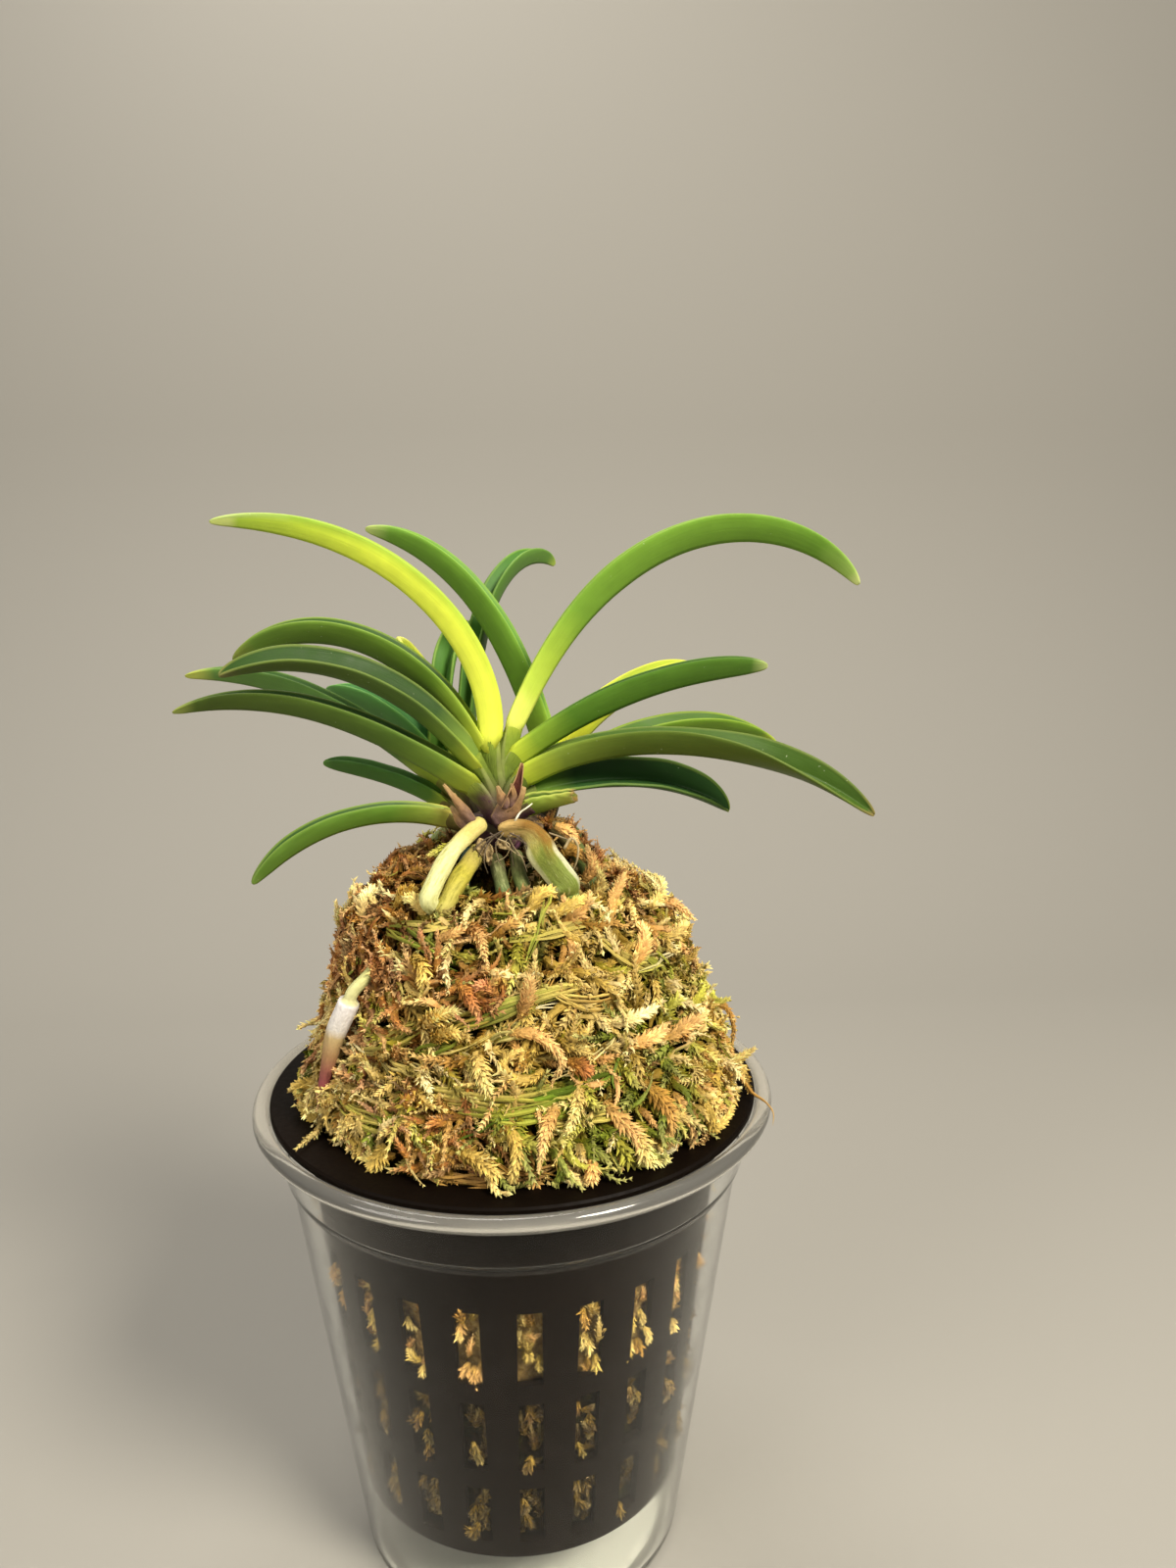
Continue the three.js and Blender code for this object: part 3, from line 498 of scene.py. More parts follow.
def leaf_mesh(name, shape, torn):
    """A folded blade whose foot ends in a tongue on each side."""
    rng = np.random.default_rng(sum(map(ord, name)))
    shares = (1 - (1 - np.linspace(0, 1, LEAF_RINGS)) ** LEAF_CLOSING) * (1.0 if torn else LAST_RING)
    phase = rng.uniform(0, 6.28, 4)
    twist = TWIST * np.sin(3.1 * shares + phase[0]) * shares
    point, along = middle_line(shape, shares)
    side, opening = leaf_axes(shape, along, shares, twist)
    marks, inside = section_marks()
    tongue = TONGUE * np.sin(np.pi * marks ** 0.9) ** 0.7
    points = []
    for i, share in enumerate(shares):
        depth = float(leaf_depth(shape, share, torn))
        full = float(leaf_depth(shape, min(share, shape.tip), torn))
        sink = 0.5 * depth + 0.15 * (full - depth)
        keel = KEEL * min(1, 0.35 + depth / shape.depth) * min(1, 0.2 + depth / (0.3 * shape.depth))
        depth = max(depth, 0.15) * (1 + 0.02 * math.sin(9 * share + phase[1]))
        section = both_halves(blade_half(depth, math.radians(shape.spread), keel), (-1, 1))
        pull = -tongue * max(0.0, 1 - share * shape.length / TONGUE_FADE)
        wave = MARGIN_WAVE * np.sin(26 * share + phase[2] + 3 * marks) * (marks > 0.8)
        points.append(point[i] + side[i] * (section[:, :1] + wave[:, None])
                      + opening[i] * (section[:, 1:] - sink) + along[i] * pull[:, None])
    if torn:
        ragged = rng.uniform(-1.3, 0.4, len(marks)) + 1.5 * np.sin(7 * marks + 1) - 1
        for back, share in ((1, 1.0), (2, 0.6), (3, 0.25)):
            points[-back] = points[-back] + along[-1] * (ragged * share)[:, None]
    return skin(points, shares, across=marks, inside=inside)


# Web colours: foot, lower, body, upper and tip of the outside, then channel and margin.
LEAF_COLOURS = {
    "main_left_1": ("e8f058", "e6ee52", "dcea4c", "98b23a", "b9c470", "86a432", "a3b040"),
    "main_left_2": ("b9c440", "88a036", "5d7c26", "56722a", "6f7a36", "2e4c1a", "849440"),
    "main_left_3": ("a4b03a", "6a8230", "4a6228", "4a5c24", "6e6a3c", "2a4614", "74803c"),
    "main_left_4": ("a0ae3a", "6a8430", "4c6624", "46581e", "8a9448", "2e4a1c", "647434"),
    "main_left_5": ("b4a850", "7c8c36", "587a28", "54722a", "6a843c", "30501e", "7c8840"),
    "main_right_1": ("dbe468", "a2bc40", "6c9230", "5c8228", "b4c078", "54782a", "8ca04a"),
    "main_right_2": ("c0d040", "84a232", "4c7220", "466820", "a6b470", "2c4a1a", "2c4016"),
    "main_right_3": ("b4c43c", "728630", "4a5c1c", "485a1e", "74603a", "3c561c", "6a7a3c"),
    "main_right_4": ("a8b83c", "5c7a2c", "2e4e1c", "284a1a", "849440", "204016", "7c8e40"),
    "main_right_5": ("a8b84c", "98b048", "94ac44", "9ca448", "8a6c40", "6c8838", "b0a868"),
    "right_left_1": ("b9c840", "86a634", "6a9230", "648c30", "b0c070", "5c8a30", "84a04a"),
    "right_right_1": ("d4da40", "d6da40", "ced43c", "c0ca3c", "d0d064", "a8b834", "d4d45c"),
    "right_right_2": ("b0be3c", "7e9a2e", "648624", "5c7c24", "94a438", "44661c", "a0ac3c"),
    "left_right_1": ("9cb03a", "4c702c", "3c5e22", "587c36", "a0b450", "406a26", "7c9840"),
    "left_right_2": ("a6b43c", "547c2e", "486e28", "688e38", "bcc850", "426c24", "8ca048"),
    "left_left_1": ("ccce48", "c8cc44", "c4c844", "c0c444", "ccce6c", "a8b438", "d0d460"),
    "left_left_2": ("9caf3c", "5c8c3c", "588c44", "588c46", "6f9c58", "40743a", "6f9850"),
    "left_left_3": ("9cb03c", "5a7c34", "527838", "587a38", "a8b050", "3c5f28", "6a8444"),
    "left_left_4": ("98ac3a", "52782e", "467030", "42682a", "4c7430", "30561e", "527840"),
}


def leaf_look(name):
    """A leaf's colours by its length, with a pale margin, fine veins and a few specks."""
    foot, lower, body, upper, tip, channel, margin = LEAF_COLOURS[name]
    look = Look("leaf_" + name)
    along, across, inside = look.read("along"), look.read("across"), look.read("inside")
    drift = look.plus(along, look.vary(look.noise(55, 2), -0.035, 0.035))
    outer = look.ramp(drift, (0.0, foot), (0.03, foot), (0.12, lower), (0.28, body), (0.92, upper),
                      (0.985, tip), (1.0, tip))
    if name == "main_left_1":
        outer = look.ramp(drift, (0.0, foot), (0.08, lower), (0.55, body), (0.8, "b2c83e"), (0.95, upper),
                          (0.985, tip))
        green = look.ramp(drift, (0.0, "ccd844"), (0.3, "a0b83a"), (0.8, "7c9c36"), (0.98, "a5b874"))
        outer = look.mix(look.span(across, 0.62, 1.0), outer, green)
    if name == "main_right_1":
        outer = look.ramp(drift, (0.0, foot), (0.045, foot), (0.1, "b6cc4c"), (0.16, lower), (0.27, body),
                          (0.9, upper), (0.97, "8aa650"), (0.99, tip))
    inner = look.ramp(drift, (0.0, lower), (0.08, lower), (0.22, channel), (0.97, channel), (1.0, tip))
    colour = look.mix(look.span(inside, 0.55, 0.95), outer, inner)
    edge = look.times(look.span(across, 0.95, 1.0), look.span(inside, 0.2, 0.6, 0.2, 1.0))
    colour = look.mix(look.times(edge, 0.32), colour, margin)
    vein = look.noise(2.2, 2, vector=look.lines(across, 11.0, along, 3.0))
    mottle = look.noise(420, 4)
    colour = look.shade(colour, look.span(vein, 0.25, 0.75, 0.94, 1.05))
    colour = look.shade(colour, look.vary(mottle, 0.95, 1.05))
    speck = look.span(look.noise(1700, 1), 0.77, 0.82)
    colour = look.mix(look.times(speck, 0.35), colour, "c9d0b0")
    look.set(Base_Color=colour, Roughness=look.vary(mottle, 0.44, 0.56), Specular_IOR_Level=0.16)
    look.set(Subsurface_Weight=0.12, Subsurface_Scale=0.002, Subsurface_Radius=(0.8, 1.0, 0.15))
    height = look.plus(look.times(vein, 0.7), look.times(mottle, 0.3))
    look.bump(height, 0.12, 0.0004)
    return look.material


TORN_LEAF = "main_right_5"


def add_leaves():
    for name, shape in LEAVES.items():
        piece("blade_" + name, leaf_mesh(name, shape, name == TORN_LEAF), leaf_look(name),
              ["leaf_" + name])


# ------------------------------ stem

SHEATH_ORDER = {  # youngest first: the older a sheath is, the more it wraps round the others
    "main": ["main_right_1", "main_left_1", "main_right_2", "main_left_2", "main_left_3", "main_right_3",
             "main_left_4", "main_right_4", "main_right_5", "main_left_5"],
    "right": ["right_left_1", "right_right_1", "right_right_2"],
    "left": ["left_right_1", "left_right_2", "left_left_1", "left_left_2", "left_left_3", "left_left_4"],
}
SHEATH_RINGS = 22
WRAP = 0.17  # how much wider each older sheath is
SHEATH_FIT = 0.97  # depth of a sheath's top as a share of its blade's


def sheath_mesh(foot, width, shape, rank):
    """A clasping sheath: round at the foot, and as wide as the blade's fold where it meets it."""
    (end,), (along,) = middle_line(shape, np.array([0.0]))
    (side,), (opening,) = leaf_axes(shape, along[None], np.zeros(1))
    end = end + along * 0.6
    foot = np.array(foot, float)
    foot[2] = max(foot[2], end[2] - SHEATH_REACH)
    path = bezier(foot, end - along * SHEATH_STRAIGHT, end, SHEATH_RINGS)
    tangent = unit(np.gradient(path, axis=0))
    depth = float(leaf_depth(shape, 0.0))
    half = blade_half(depth * SHEATH_FIT, math.radians(shape.spread), KEEL)
    lid = np.linspace(1, 0, INNER)  # the channel is closed by a lid
    half[-INNER:, 0] = half[-INNER, 0] * lid
    half[-INNER:, 1] = depth * (SHEATH_FIT - 0.12 * (1 - lid))
    top = (both_halves(half, (-1, 1)) - (0, depth / 2)) * 0.9
    marks, _ = section_marks()
    angle = turns(len(marks), -math.pi / 2)
    wide = width / 2 + WRAP * rank
    bottom = np.stack([wide * np.cos(angle), width / 2 * np.sin(angle)], 1)
    points = []
    along = np.linspace(0, 1, SHEATH_RINGS)
    for place, way, blend in zip(path, tangent, along ** 0.8):
        up = unit(np.cross(side, way)) * (1 - blend) + opening * blend
        section = bottom * (1 - blend) + top * blend
        points.append(place + side * section[:, :1] + up * section[:, 1:])
    return skin(points, along, across=marks)


def tube(line, radius, sides):
    """A round tube along a line of points, with a radius at each."""
    tangent = unit(np.gradient(line, axis=0))
    side = unit(np.cross(tangent, (0.31, 0.93, 0.2)))
    other = np.cross(side, tangent)
    angle = turns(sides)[:, None]
    ring = side[:, None] * np.cos(angle) + other[:, None] * np.sin(angle)
    points = line[:, None] + ring * np.asarray(radius)[:, None, None]
    return points.reshape(-1, 3), skin_faces(len(line), sides)


def sheath_look():
    """Sheaths: brown and purple at the foot, and green where the blades begin."""
    look = Look("sheath")
    along, across = look.read("along"), look.read("across")
    height = look.axis("Z")
    drift = look.plus(height, look.vary(look.noise(170, 3), -0.0022, 0.0022))
    up = look.span(drift, 0.139, 0.158)
    colour = look.ramp(up, (0.0, "4c3436"), (0.14, "5c4444"), (0.24, "6c584a"), (0.33, "646038"),
                       (0.55, "60702c"), (0.8, "829632"), (1.0, "acbc3c"))
    purple = look.times(look.span(look.noise(620, 4), 0.48, 0.58), look.span(up, 0.42, 0.2))
    colour = look.mix(look.times(purple, 0.7), colour, "55304a")
    aside = look.axis("X")
    leftward = look.times(look.span(aside, -0.0046, -0.0066), look.span(up, 0.3, 0.44))
    colour = look.mix(look.times(leftward, 0.85), colour, "98a83e")
    side_growth = look.ramp(up, (0.0, "4c4020"), (0.25, "7c7438"), (0.5, "98a040"), (0.8, "98a83c"))
    colour = look.mix(look.span(look.maths("ABSOLUTE", aside), 0.0066, 0.0084), colour, side_growth)
    rim = look.times(look.span(across, 0.95, 1.0), 0.35)
    colour = look.mix(rim, colour, "8c8c5c")
    vein = look.noise(3.0, 2, vector=look.lines(across, 9.0, along, 1.5))
    colour = look.shade(colour, look.vary(vein, 0.8, 1.1))
    look.set(Base_Color=colour, Roughness=0.5, Specular_IOR_Level=0.18)
    return look.bump(vein, 0.5, 0.0006).material


def add_stem():
    sheaths = [sheath_mesh(*GROWTHS[growth], LEAVES[name], rank)
               for growth, names in SHEATH_ORDER.items() for rank, name in enumerate(names)]
    piece("sheaths", join(sheaths), sheath_look(), ["stem"])
    add_crown()


def add_crown():
    """The lump of old tissue that the growths stand on."""
    rings, count = 24, 36
    rise = np.linspace(-math.pi / 2, math.pi / 2, rings)[:, None]
    points = circle(turns(count)[None], np.cos(rise), np.sin(rise)).reshape(-1, 3) * CROWN_RADII + CROWN
    wobble = np.sin(points[:, 0] * 2.1) * np.sin(points[:, 1] * 1.9 + 1) * np.sin(points[:, 2] * 2.3)
    points = points + unit(points - CROWN) * 0.5 * wobble[:, None]
    look = Look("crown")
    rough = look.noise(600, 5)
    look.set(Base_Color=look.ramp(rough, (0.3, "2b2019"), (0.55, "5a4632"), (0.75, "8c7657")), Roughness=0.9)
    look.bump(rough, 0.8, 0.001)
    piece("crown", (points, skin_faces(rings, count, caps=False), {}), look.material)


# ------------------------------ roots

ROOT_COLOURS = {  # start, middle, end, streak
    "cream": ("c8b870", "dcd898", "d4d898", "acac5c"),
    "yellow": ("b0a058", "b0a63c", "b6ae6c", "7c7a2a"),
    # The shade root's colours are painted shade: it is darkened for the shadow that it lies in.
    "shade": ("26382e", "243c32", "22342c", "34503f"),
    "green": ("6c6c44", "54683a", "50643a", "a4a874"),
    "dark": ("6c7044", "5c6c38", "58683a", "a0a068"),
    "strap": ("c8a868", "7c8636", "66783a", "9a7430"),
    "side": ("6f5f38", "5c6834", "4c5a2c", "46482a"),
    "back_right": ("9c985f", "848e54", "76864c", "5c6a3c"),
    "back_left": ("9c985f", "848e54", "76864c", "5c6a3c"),
}
NEW_ROOT_COLOURS = [  # by share of the length: the pink growing tip begins at 0.76
    (0.0, "9fa35c"), (0.24, "bdbd7c"), (0.365, "cfcb98"), (0.38, "e4dedc"), (0.56, "e2dcd4"),
    (0.63, "b8a070"), (0.76, "a07c54"), (0.86, "8c5448"), (0.95, "884448"), (1.0, "a07068"),
]

# How far the end of a root sinks into the moss, and the shares of its length where that begins and is full.
ROOT_SINKS = {"strap": (2.6, 0.66, 0.8), "cream": (4.6, 0.7, 0.92)}
ROOT_SINK = (2.6, 0.7, 0.9)
NEW_ROOT_SINK = (2.6, 0.2, 0.34)  # its start sinks instead, and the shares are where that fades and is over


def smooth_step(value, low, high):
    """0 up to low, 1 from high, and a smooth rise between them."""
    t = np.clip((np.asarray(value, float) - low) / (high - low), 0, 1)
    return t * t * (3 - 2 * t)


def root_mesh(name, line, radius, flat, rings=72, count=24):
    """A root along a line, uneven and ridged, whose end goes into the moss. The new root's start does."""
    rng = np.random.default_rng(len(name) * 31 + ord(name[0]))
    path = smooth_path(line, rings)
    t = np.linspace(0, 1, rings)
    inward = -unit(path * (1, 1, 0))
    if name == "new":
        depth, fade, over = NEW_ROOT_SINK
        sink = depth * (1 - smooth_step(t, fade, over))
    else:
        depth, begin, full = ROOT_SINKS.get(name, ROOT_SINK)
        sink = depth * smooth_step(t, begin, full)
    path = path + inward * sink[:, None]
    tangent = unit(np.gradient(path, axis=0))
    wide = unit(np.cross(tangent, ROOT_FLAT_FACES))
    deep = np.cross(wide, tangent)
    phase = rng.uniform(0, 6.28, 6)
    thickness = 1 + 0.05 * np.sin(9 * t + phase[0]) + 0.03 * np.sin(23 * t + phase[1])
    start = np.sqrt(np.clip(1 - (1 - np.clip(t / 0.05, 0, 1)) ** 2, 0.02, 1))
    end = np.ones(rings)
    if name == "new":
        thickness = 0.60 + 0.44 * smooth_step(t, 0.365, 0.385) - 0.48 * smooth_step(t, 0.5, 1)
        end = np.sqrt(np.clip(1 - np.clip((t - 0.95) / 0.05, 0, 1) ** 2, 0.01, 1))
    size = radius * thickness * start * end
    angle = turns(count)
    ridge = (1 + 0.04 * np.sin(3 * angle + 5 * t[:, None] + phase[2])
             + 0.02 * np.sin(7 * angle - 14 * t[:, None] + phase[3]))
    across = size[:, None] * ridge * np.cos(angle)
    up = size[:, None] * flat * ridge * np.sin(angle)
    if name == "strap":
        width = 0.6 + 0.52 * smooth_step(t, 0.04, 0.36) - 0.24 * smooth_step(t, 0.5, 0.74)
        across = across * width[:, None]
        up = up * (0.72 + 0.36 * np.abs(np.cos(angle)) ** 1.5)
    points = path[:, None] + wide[:, None] * across[..., None] + deep[:, None] * up[..., None]
    return skin(points, t, round=angle, edge=np.cos(angle))


def root_look(name):
    """A root's colours by its length, streaked. The strap is stained, and the new root has a pink tip."""
    look = Look("root_" + name)
    along, edge = look.read("along"), look.read("edge")
    if name == "new":
        stops, blur = NEW_ROOT_COLOURS, 0.012
    else:
        start, middle, end, streak = ROOT_COLOURS[name]
        stops, blur = [(0.0, start), (0.16, start), (0.42, middle), (1.0, end)], 0.05
    colour = look.ramp(look.plus(along, look.vary(look.noise(260, 3), -blur, blur)), *stops)
    streaks = look.noise(1.6, 5, 0.65, look.lines(look.read("round"), 1.6, along, 5.0))
    if name == "strap":
        stain = look.times(look.span(along, 0.1, 0.2), look.span(along, 0.56, 0.36))
        stain = look.times(stain, look.span(look.plus(edge, streaks), 0.6, 1.15))
        colour = look.mix(look.times(stain, 0.9), colour, "80581c")
        colour = look.mix(look.span(streaks, 0.42, 0.3, 0, 0.6), colour, "b4b678")
        colour = look.mix(look.span(streaks, 0.56, 0.7, 0, 0.5), colour, "5c6c2c")
        pale = look.times(look.span(edge, -0.45, -0.8), look.span(along, 0.16, 0.3))
        colour = look.mix(look.times(pale, 0.85), colour, "d4d0a0")
        white = look.times(look.span(edge, 0.88, 0.98), look.span(along, 0.36, 0.46))
        white = look.times(white, look.span(along, 0.78, 0.66))
        colour = look.mix(look.times(white, 0.7), colour, "d8d4b4")
    elif name != "new":
        colour = look.mix(look.span(streaks, 0.5, 0.66, 0, 0.75), colour, streak)
    grain = look.noise(1500, 3)
    colour = look.shade(colour, look.vary(grain, 0.88, 1.06))
    look.set(Base_Color=colour, Roughness=0.6, Specular_IOR_Level=0.2)
    height = look.plus(look.times(streaks, 0.8), look.times(grain, 0.2))
    return look.bump(height, 0.55, 0.0008).material


def add_roots():
    for name, (line, radius, flat) in ROOTS.items():
        piece("velamen_" + name, root_mesh(name, line, radius, flat), root_look(name), ["root_" + name])


# ------------------------------ bracts


def scale_mesh(path, width, curl, facing=(0, -1, 0), rings=18, count=11, thickness=0.16):
    """A dry scale: a pointed sheet curled into a trough that opens towards facing."""
    line = bezier(*path, rings)
    tangent = unit(np.gradient(line, axis=0))
    across = unit(np.cross(tangent, np.array(facing, float)))
    out = np.cross(across, tangent)
    out = out * np.sign(np.sum(out * facing, 1, keepdims=True))
    t = np.linspace(0, 1, rings)[:, None]
    half = width / 2 * (0.6 + 0.4 * np.sin(math.pi * np.clip(t / 0.75, 0, 1)))
    half = half * np.sqrt(1 - (0.985 * t) ** 2.4)
    s = np.linspace(-1, 1, count)[None]
    turn = s * curl * (1 + 0.25 * np.sin(3 * t))
    crumple = 0.1 * np.sin(6 * s + 8 * t) * np.cos(12 * t)
    aside = half * np.sin(turn) / math.sin(curl)
    rise = half * (1 - np.cos(turn)) + crumple
    front = line[:, None] + across[:, None] * aside[..., None] + out[:, None] * rise[..., None]
    normal = unit(out[:, None] * np.cos(turn)[..., None] - across[:, None] * np.sin(turn)[..., None])
    back = (front - normal * thickness)[:, ::-1]
    points = np.concatenate([front, back], 1)
    inside = np.r_[np.ones(count), np.zeros(count)]
    rim = np.abs(np.r_[s[0], s[0][::-1]])
    return skin(points, t[:, 0], inside=inside, across=rim)


def bract_look():
    """Dry brown scales with a pale edge, darker inside: partly their own colour and partly painted shade in the
    trough.
    """
    look = Look("dry_bract")
    along, inside, across = look.read("along"), look.read("inside"), look.read("across")
    outer = look.ramp(along, (0.0, "5a4244"), (0.3, "745846"), (0.65, "927048"), (1.0, "a88c5c"))
    # The inside is darker, partly as painted shade in the trough.
    inner = look.ramp(along, (0.0, "4c2c28"), (0.5, "54281e"), (0.85, "5c3424"), (1.0, "86603c"))
    colour = look.mix(look.span(inside, 0.4, 0.6), outer, inner)
    colour = look.mix(look.span(across, 0.72, 1.0, 0, 0.6), colour, "b08c60")
    grain = look.noise(900, 4)
    colour = look.shade(colour, look.vary(grain, 0.7, 1.15))
    look.set(Base_Color=colour, Roughness=0.7, Specular_IOR_Level=0.3)
    return look.bump(grain, 0.5, 0.0005).material


AWAY = (0.2, 1, 0)
# Dry bracts: path in millimetres, width, how far it curls round, and the way that it opens.
BRACTS = {
    "left": [
        ([(-5.9, -8.8, 141.8), (-8.0, -9.4, 144.8), (-11.0, -8.2, 149.0)], 1.6, 1.25, AWAY),
        ([(-5.6, -8.4, 141.6), (-7.4, -8.6, 143.8), (-9.4, -7.4, 147.2)], 1.3, 1.0, AWAY),
        ([(-6.6, -8.0, 141.2), (-8.6, -8.4, 142.8), (-9.9, -7.2, 145.0)], 2.2, 0.8, AWAY),
    ],
    "right": [
        ([(-0.9, -8.8, 144.6), (1.4, -9.7, 148.2), (2.3, -9.2, 152.6)], 1.9, 1.45, (0.3, -0.95, 0.1)),
        ([(-0.6, -9.3, 144.8), (-1.2, -10, 146.6), (-1.9, -9.4, 148.8)], 1.7, 0.9, AWAY),
        ([(0.2, -9.3, 145.2), (0.9, -9.9, 147.2), (0.5, -9.5, 149.2)], 1.3, 0.9, AWAY),
        ([(-2.6, -8.2, 142.2), (0.6, -9.4, 144.0), (2.7, -8.8, 148.4)], 3.6, 0.9, (-0.2, 1, 0)),
    ],
}


def add_bracts():
    look = bract_look()
    for side, scales in BRACTS.items():
        piece("scales_" + side, join([scale_mesh(*scale) for scale in scales]), look,
              ["bract_" + side])


# Dead fibres at the foot of the stem: points of the view, depth in y, radius, web colour.
FIBRES = [
    ([(512, 848), (500, 856), (490, 870), (486, 884)], -10.5, 0.16, "5c4c3c"),
    ([(514, 850), (506, 862), (509, 878), (516, 888)], -11, 0.14, "8a7a64"),
    ([(520, 850), (532, 856), (540, 870), (548, 880)], -11, 0.15, "4c3f34"),
    ([(518, 852), (524, 864), (533, 876), (538, 890)], -11.5, 0.14, "97876c"),
    ([(510, 850), (498, 862), (494, 878), (498, 892)], -11, 0.15, "7a6a54"),
    ([(524, 850), (516, 860), (528, 872), (541, 876)], -11.5, 0.13, "a89878"),
    ([(505, 852), (493, 858), (483, 868)], -10, 0.18, "6a5846"),
    ([(528, 856), (541, 864), (545, 878), (536, 886)], -11.5, 0.13, "8a7a60"),
    ([(500, 850), (512, 858), (526, 856), (538, 862)], -10.5, 0.16, "4c3c30"),
    ([(508, 856), (520, 862), (516, 874), (504, 880)], -11.5, 0.12, "b0a080"),
    ([(530, 852), (522, 866), (524, 884)], -11, 0.14, "6c5c48"),
    ([(576, 866), (583, 855), (590, 864), (588, 880), (580, 896)], -13, 0.26, "c0a878"),
    ([(560, 850), (572, 854), (583, 858)], -12, 0.2, "a08858"),
    ([(523, 843), (527, 835), (531, 829), (538, 824), (543, 820)], -9.3, 0.22, "f0ecd0"),
]
# Shrivelled remains between the roots: path in millimetres and width.
REMAINS = [
    ([(-4.6, -9.4, 139.6), (-5.2, -10.0, 138.2), (-4.6, -9.8, 136.6)], 1.5),
    ([(-3.8, -9.4, 138.6), (-3.2, -10.0, 137.2), (-4.0, -10.2, 135.6)], 1.1),
    ([(-2.2, -8.6, 139.0), (-1.2, -9.4, 138.2), (0.2, -9.2, 137.6)], 1.1),
    ([(2.6, -8.4, 138.2), (3.8, -9.2, 137.2), (4.6, -9.0, 136.0)], 1.5),
    ([(-4.2, -8.8, 137.4), (-3.4, -9.6, 136.2), (-3.6, -9.4, 134.8)], 1.0),
]


def add_fibres(steps=20):
    """Old root fibres and shrivelled remains round the foot of the stem."""
    forms = []
    for pixels, depth, radius, code in FIBRES:
        line = smooth_path([at_depth(x, y, depth + 0.8 * math.sin(x)) for x, y in pixels], steps)
        points, faces = tube(line, radius * np.linspace(1.0, 0.5, steps), 6)
        forms.append((points, faces, {"shade": np.full(len(points), sum(rgb(code)) / 3)}))
    look = Look("fibres")
    tone = look.ramp(look.read("shade"), (0.03, "3f3228"), (0.2, "7a6a50"), (0.4, "b8a478"), (0.8, "f0ecd0"))
    look.set(Base_Color=look.shade(tone, look.vary(look.noise(900, 2), 0.7, 1.1)), Roughness=0.8)
    piece("fibres", join(forms), look.material)
    look = Look("remains")
    grain = look.noise(1100, 4)
    look.set(Base_Color=look.ramp(grain, (0.35, "5a4628"), (0.6, "b49c6c")), Roughness=0.85)
    look.bump(grain, 0.8, 0.0008)
    remains = join([scale_mesh(path, width, curl=0.9) for path, width in REMAINS])
    piece("remains", remains, look.material)


# ------------------------------ moss mound

mound_line = np.array(MOUND, float)
mound_length = np.r_[0, np.cumsum(np.linalg.norm(np.diff(mound_line, axis=0), axis=1))]
RIM_AT = mound_length[MOUND_RIM]  # distance along the profile
CAMERA_TO_MOUND = (130, 300)  # the nearest and the farthest that the mound can be
AROUND = 30  # millimetres round the mound for a radian, where its paths are smoothed


def on_profile(distance):
    """Radius and height of the mound's plain profile at a distance along it."""
    return [np.interp(distance, mound_length, mound_line[:, k]) for k in (0, 1)]


def swelling(azimuth, z):
    """Broad lumps, from -1 to 1."""
    return (0.5 * np.sin(3 * azimuth + 0.11 * z) + 0.3 * np.sin(5 * azimuth - 0.17 * z + 1)
            + 0.2 * np.sin(8 * azimuth + 0.4 * z))


def mound_place(azimuth, distance):
    """Radius and level of the mound's surface at a distance along its profile."""
    radius, height = on_profile(distance)
    share = np.clip(height / MOUND[MOUND_RIM][1], 0, 1)
    lean = FRONT_DIP * np.sin(azimuth) - RIGHT_DIP * np.maximum(0, np.cos(azimuth - 0.3))
    z = MOSS_BASE + height + lean * share ** 3
    bulge = RIGHT_BULGE * np.maximum(0, np.cos(azimuth)) * (1 - share) * np.minimum(1, 0.1 + 5 * share)
    bulge = bulge - LEFT_TUCK * np.maximum(0, -np.cos(azimuth)) * (1 - share) ** 3
    return radius + LUMP * swelling(azimuth, z) + bulge, z


def mound_point(azimuth, distance, lift, step=1.5):
    """A point over the mound's surface and the surface's outward axis there."""
    distance = np.asarray(distance, float)
    ahead, behind = on_profile(distance + step), on_profile(distance - step)
    slope = unit(np.stack([ahead[0] - behind[0], ahead[1] - behind[1]], -1))
    r, z = mound_place(azimuth, distance)
    radial, upright = circle(azimuth), np.array([0.0, 0.0, 1.0])
    out = radial * slope[..., 1:] - upright * slope[..., :1]
    return radial * r[..., None] + upright * z[..., None] + out * np.asarray(lift)[..., None], out


def on_mound(x, y):
    """Azimuth and distance along the profile where the camera sees the mound at a point of the view."""
    start, direction = view_ray(x, y)
    points = start + np.arange(*CAMERA_TO_MOUND, 0.2)[:, None] * direction
    azimuth = np.arctan2(points[:, 1], points[:, 0])
    flank = np.linspace(0, RIM_AT, 300)
    radius, level = mound_place(azimuth[:, None], flank[None])
    surface = np.array([np.interp(p[2], z, r) for p, z, r in zip(points, level, radius)])
    depth = surface - np.hypot(points[:, 0], points[:, 1])
    found = np.flatnonzero((depth > 0) & (points[:, 2] < level[:, -1]) & (points[:, 2] > MOSS_BASE - 4))
    hit = found[0] if len(found) else int(np.argmax(depth))
    return azimuth[hit], np.interp(points[hit, 2], level[hit], flank)


MOSS = {name: np.array(rgb(code)) for name, code in {
    "straw": "d0ba66", "cream": "ecd88e", "tan": "bc9248", "peach": "e6ba7c", "pale": "f6e8b0",
    "rust": "a66a3a", "brown": "7a4a1c", "olive": "a29c40", "lime": "b6be4a", "green": "76902a",
    "deep": "55641c", "rose": "b67e5a", "amber": "b87c40", "blush": "cc9c78",
}.items()}
# Painted shade and light: what the painted shade of the hollows and the light at the surface make of each
# colour.
SHADED_TINT, LIT_TINT = np.array([1.0, 0.78, 0.22]), np.array([1.02, 0.91, 0.77])
# Colours of the shoots outside the patches, and the share of each.
MAIN_MIX = {"straw": 0.26, "cream": 0.27, "tan": 0.08, "peach": 0.10, "pale": 0.13, "olive": 0.08, "lime": 0.08}
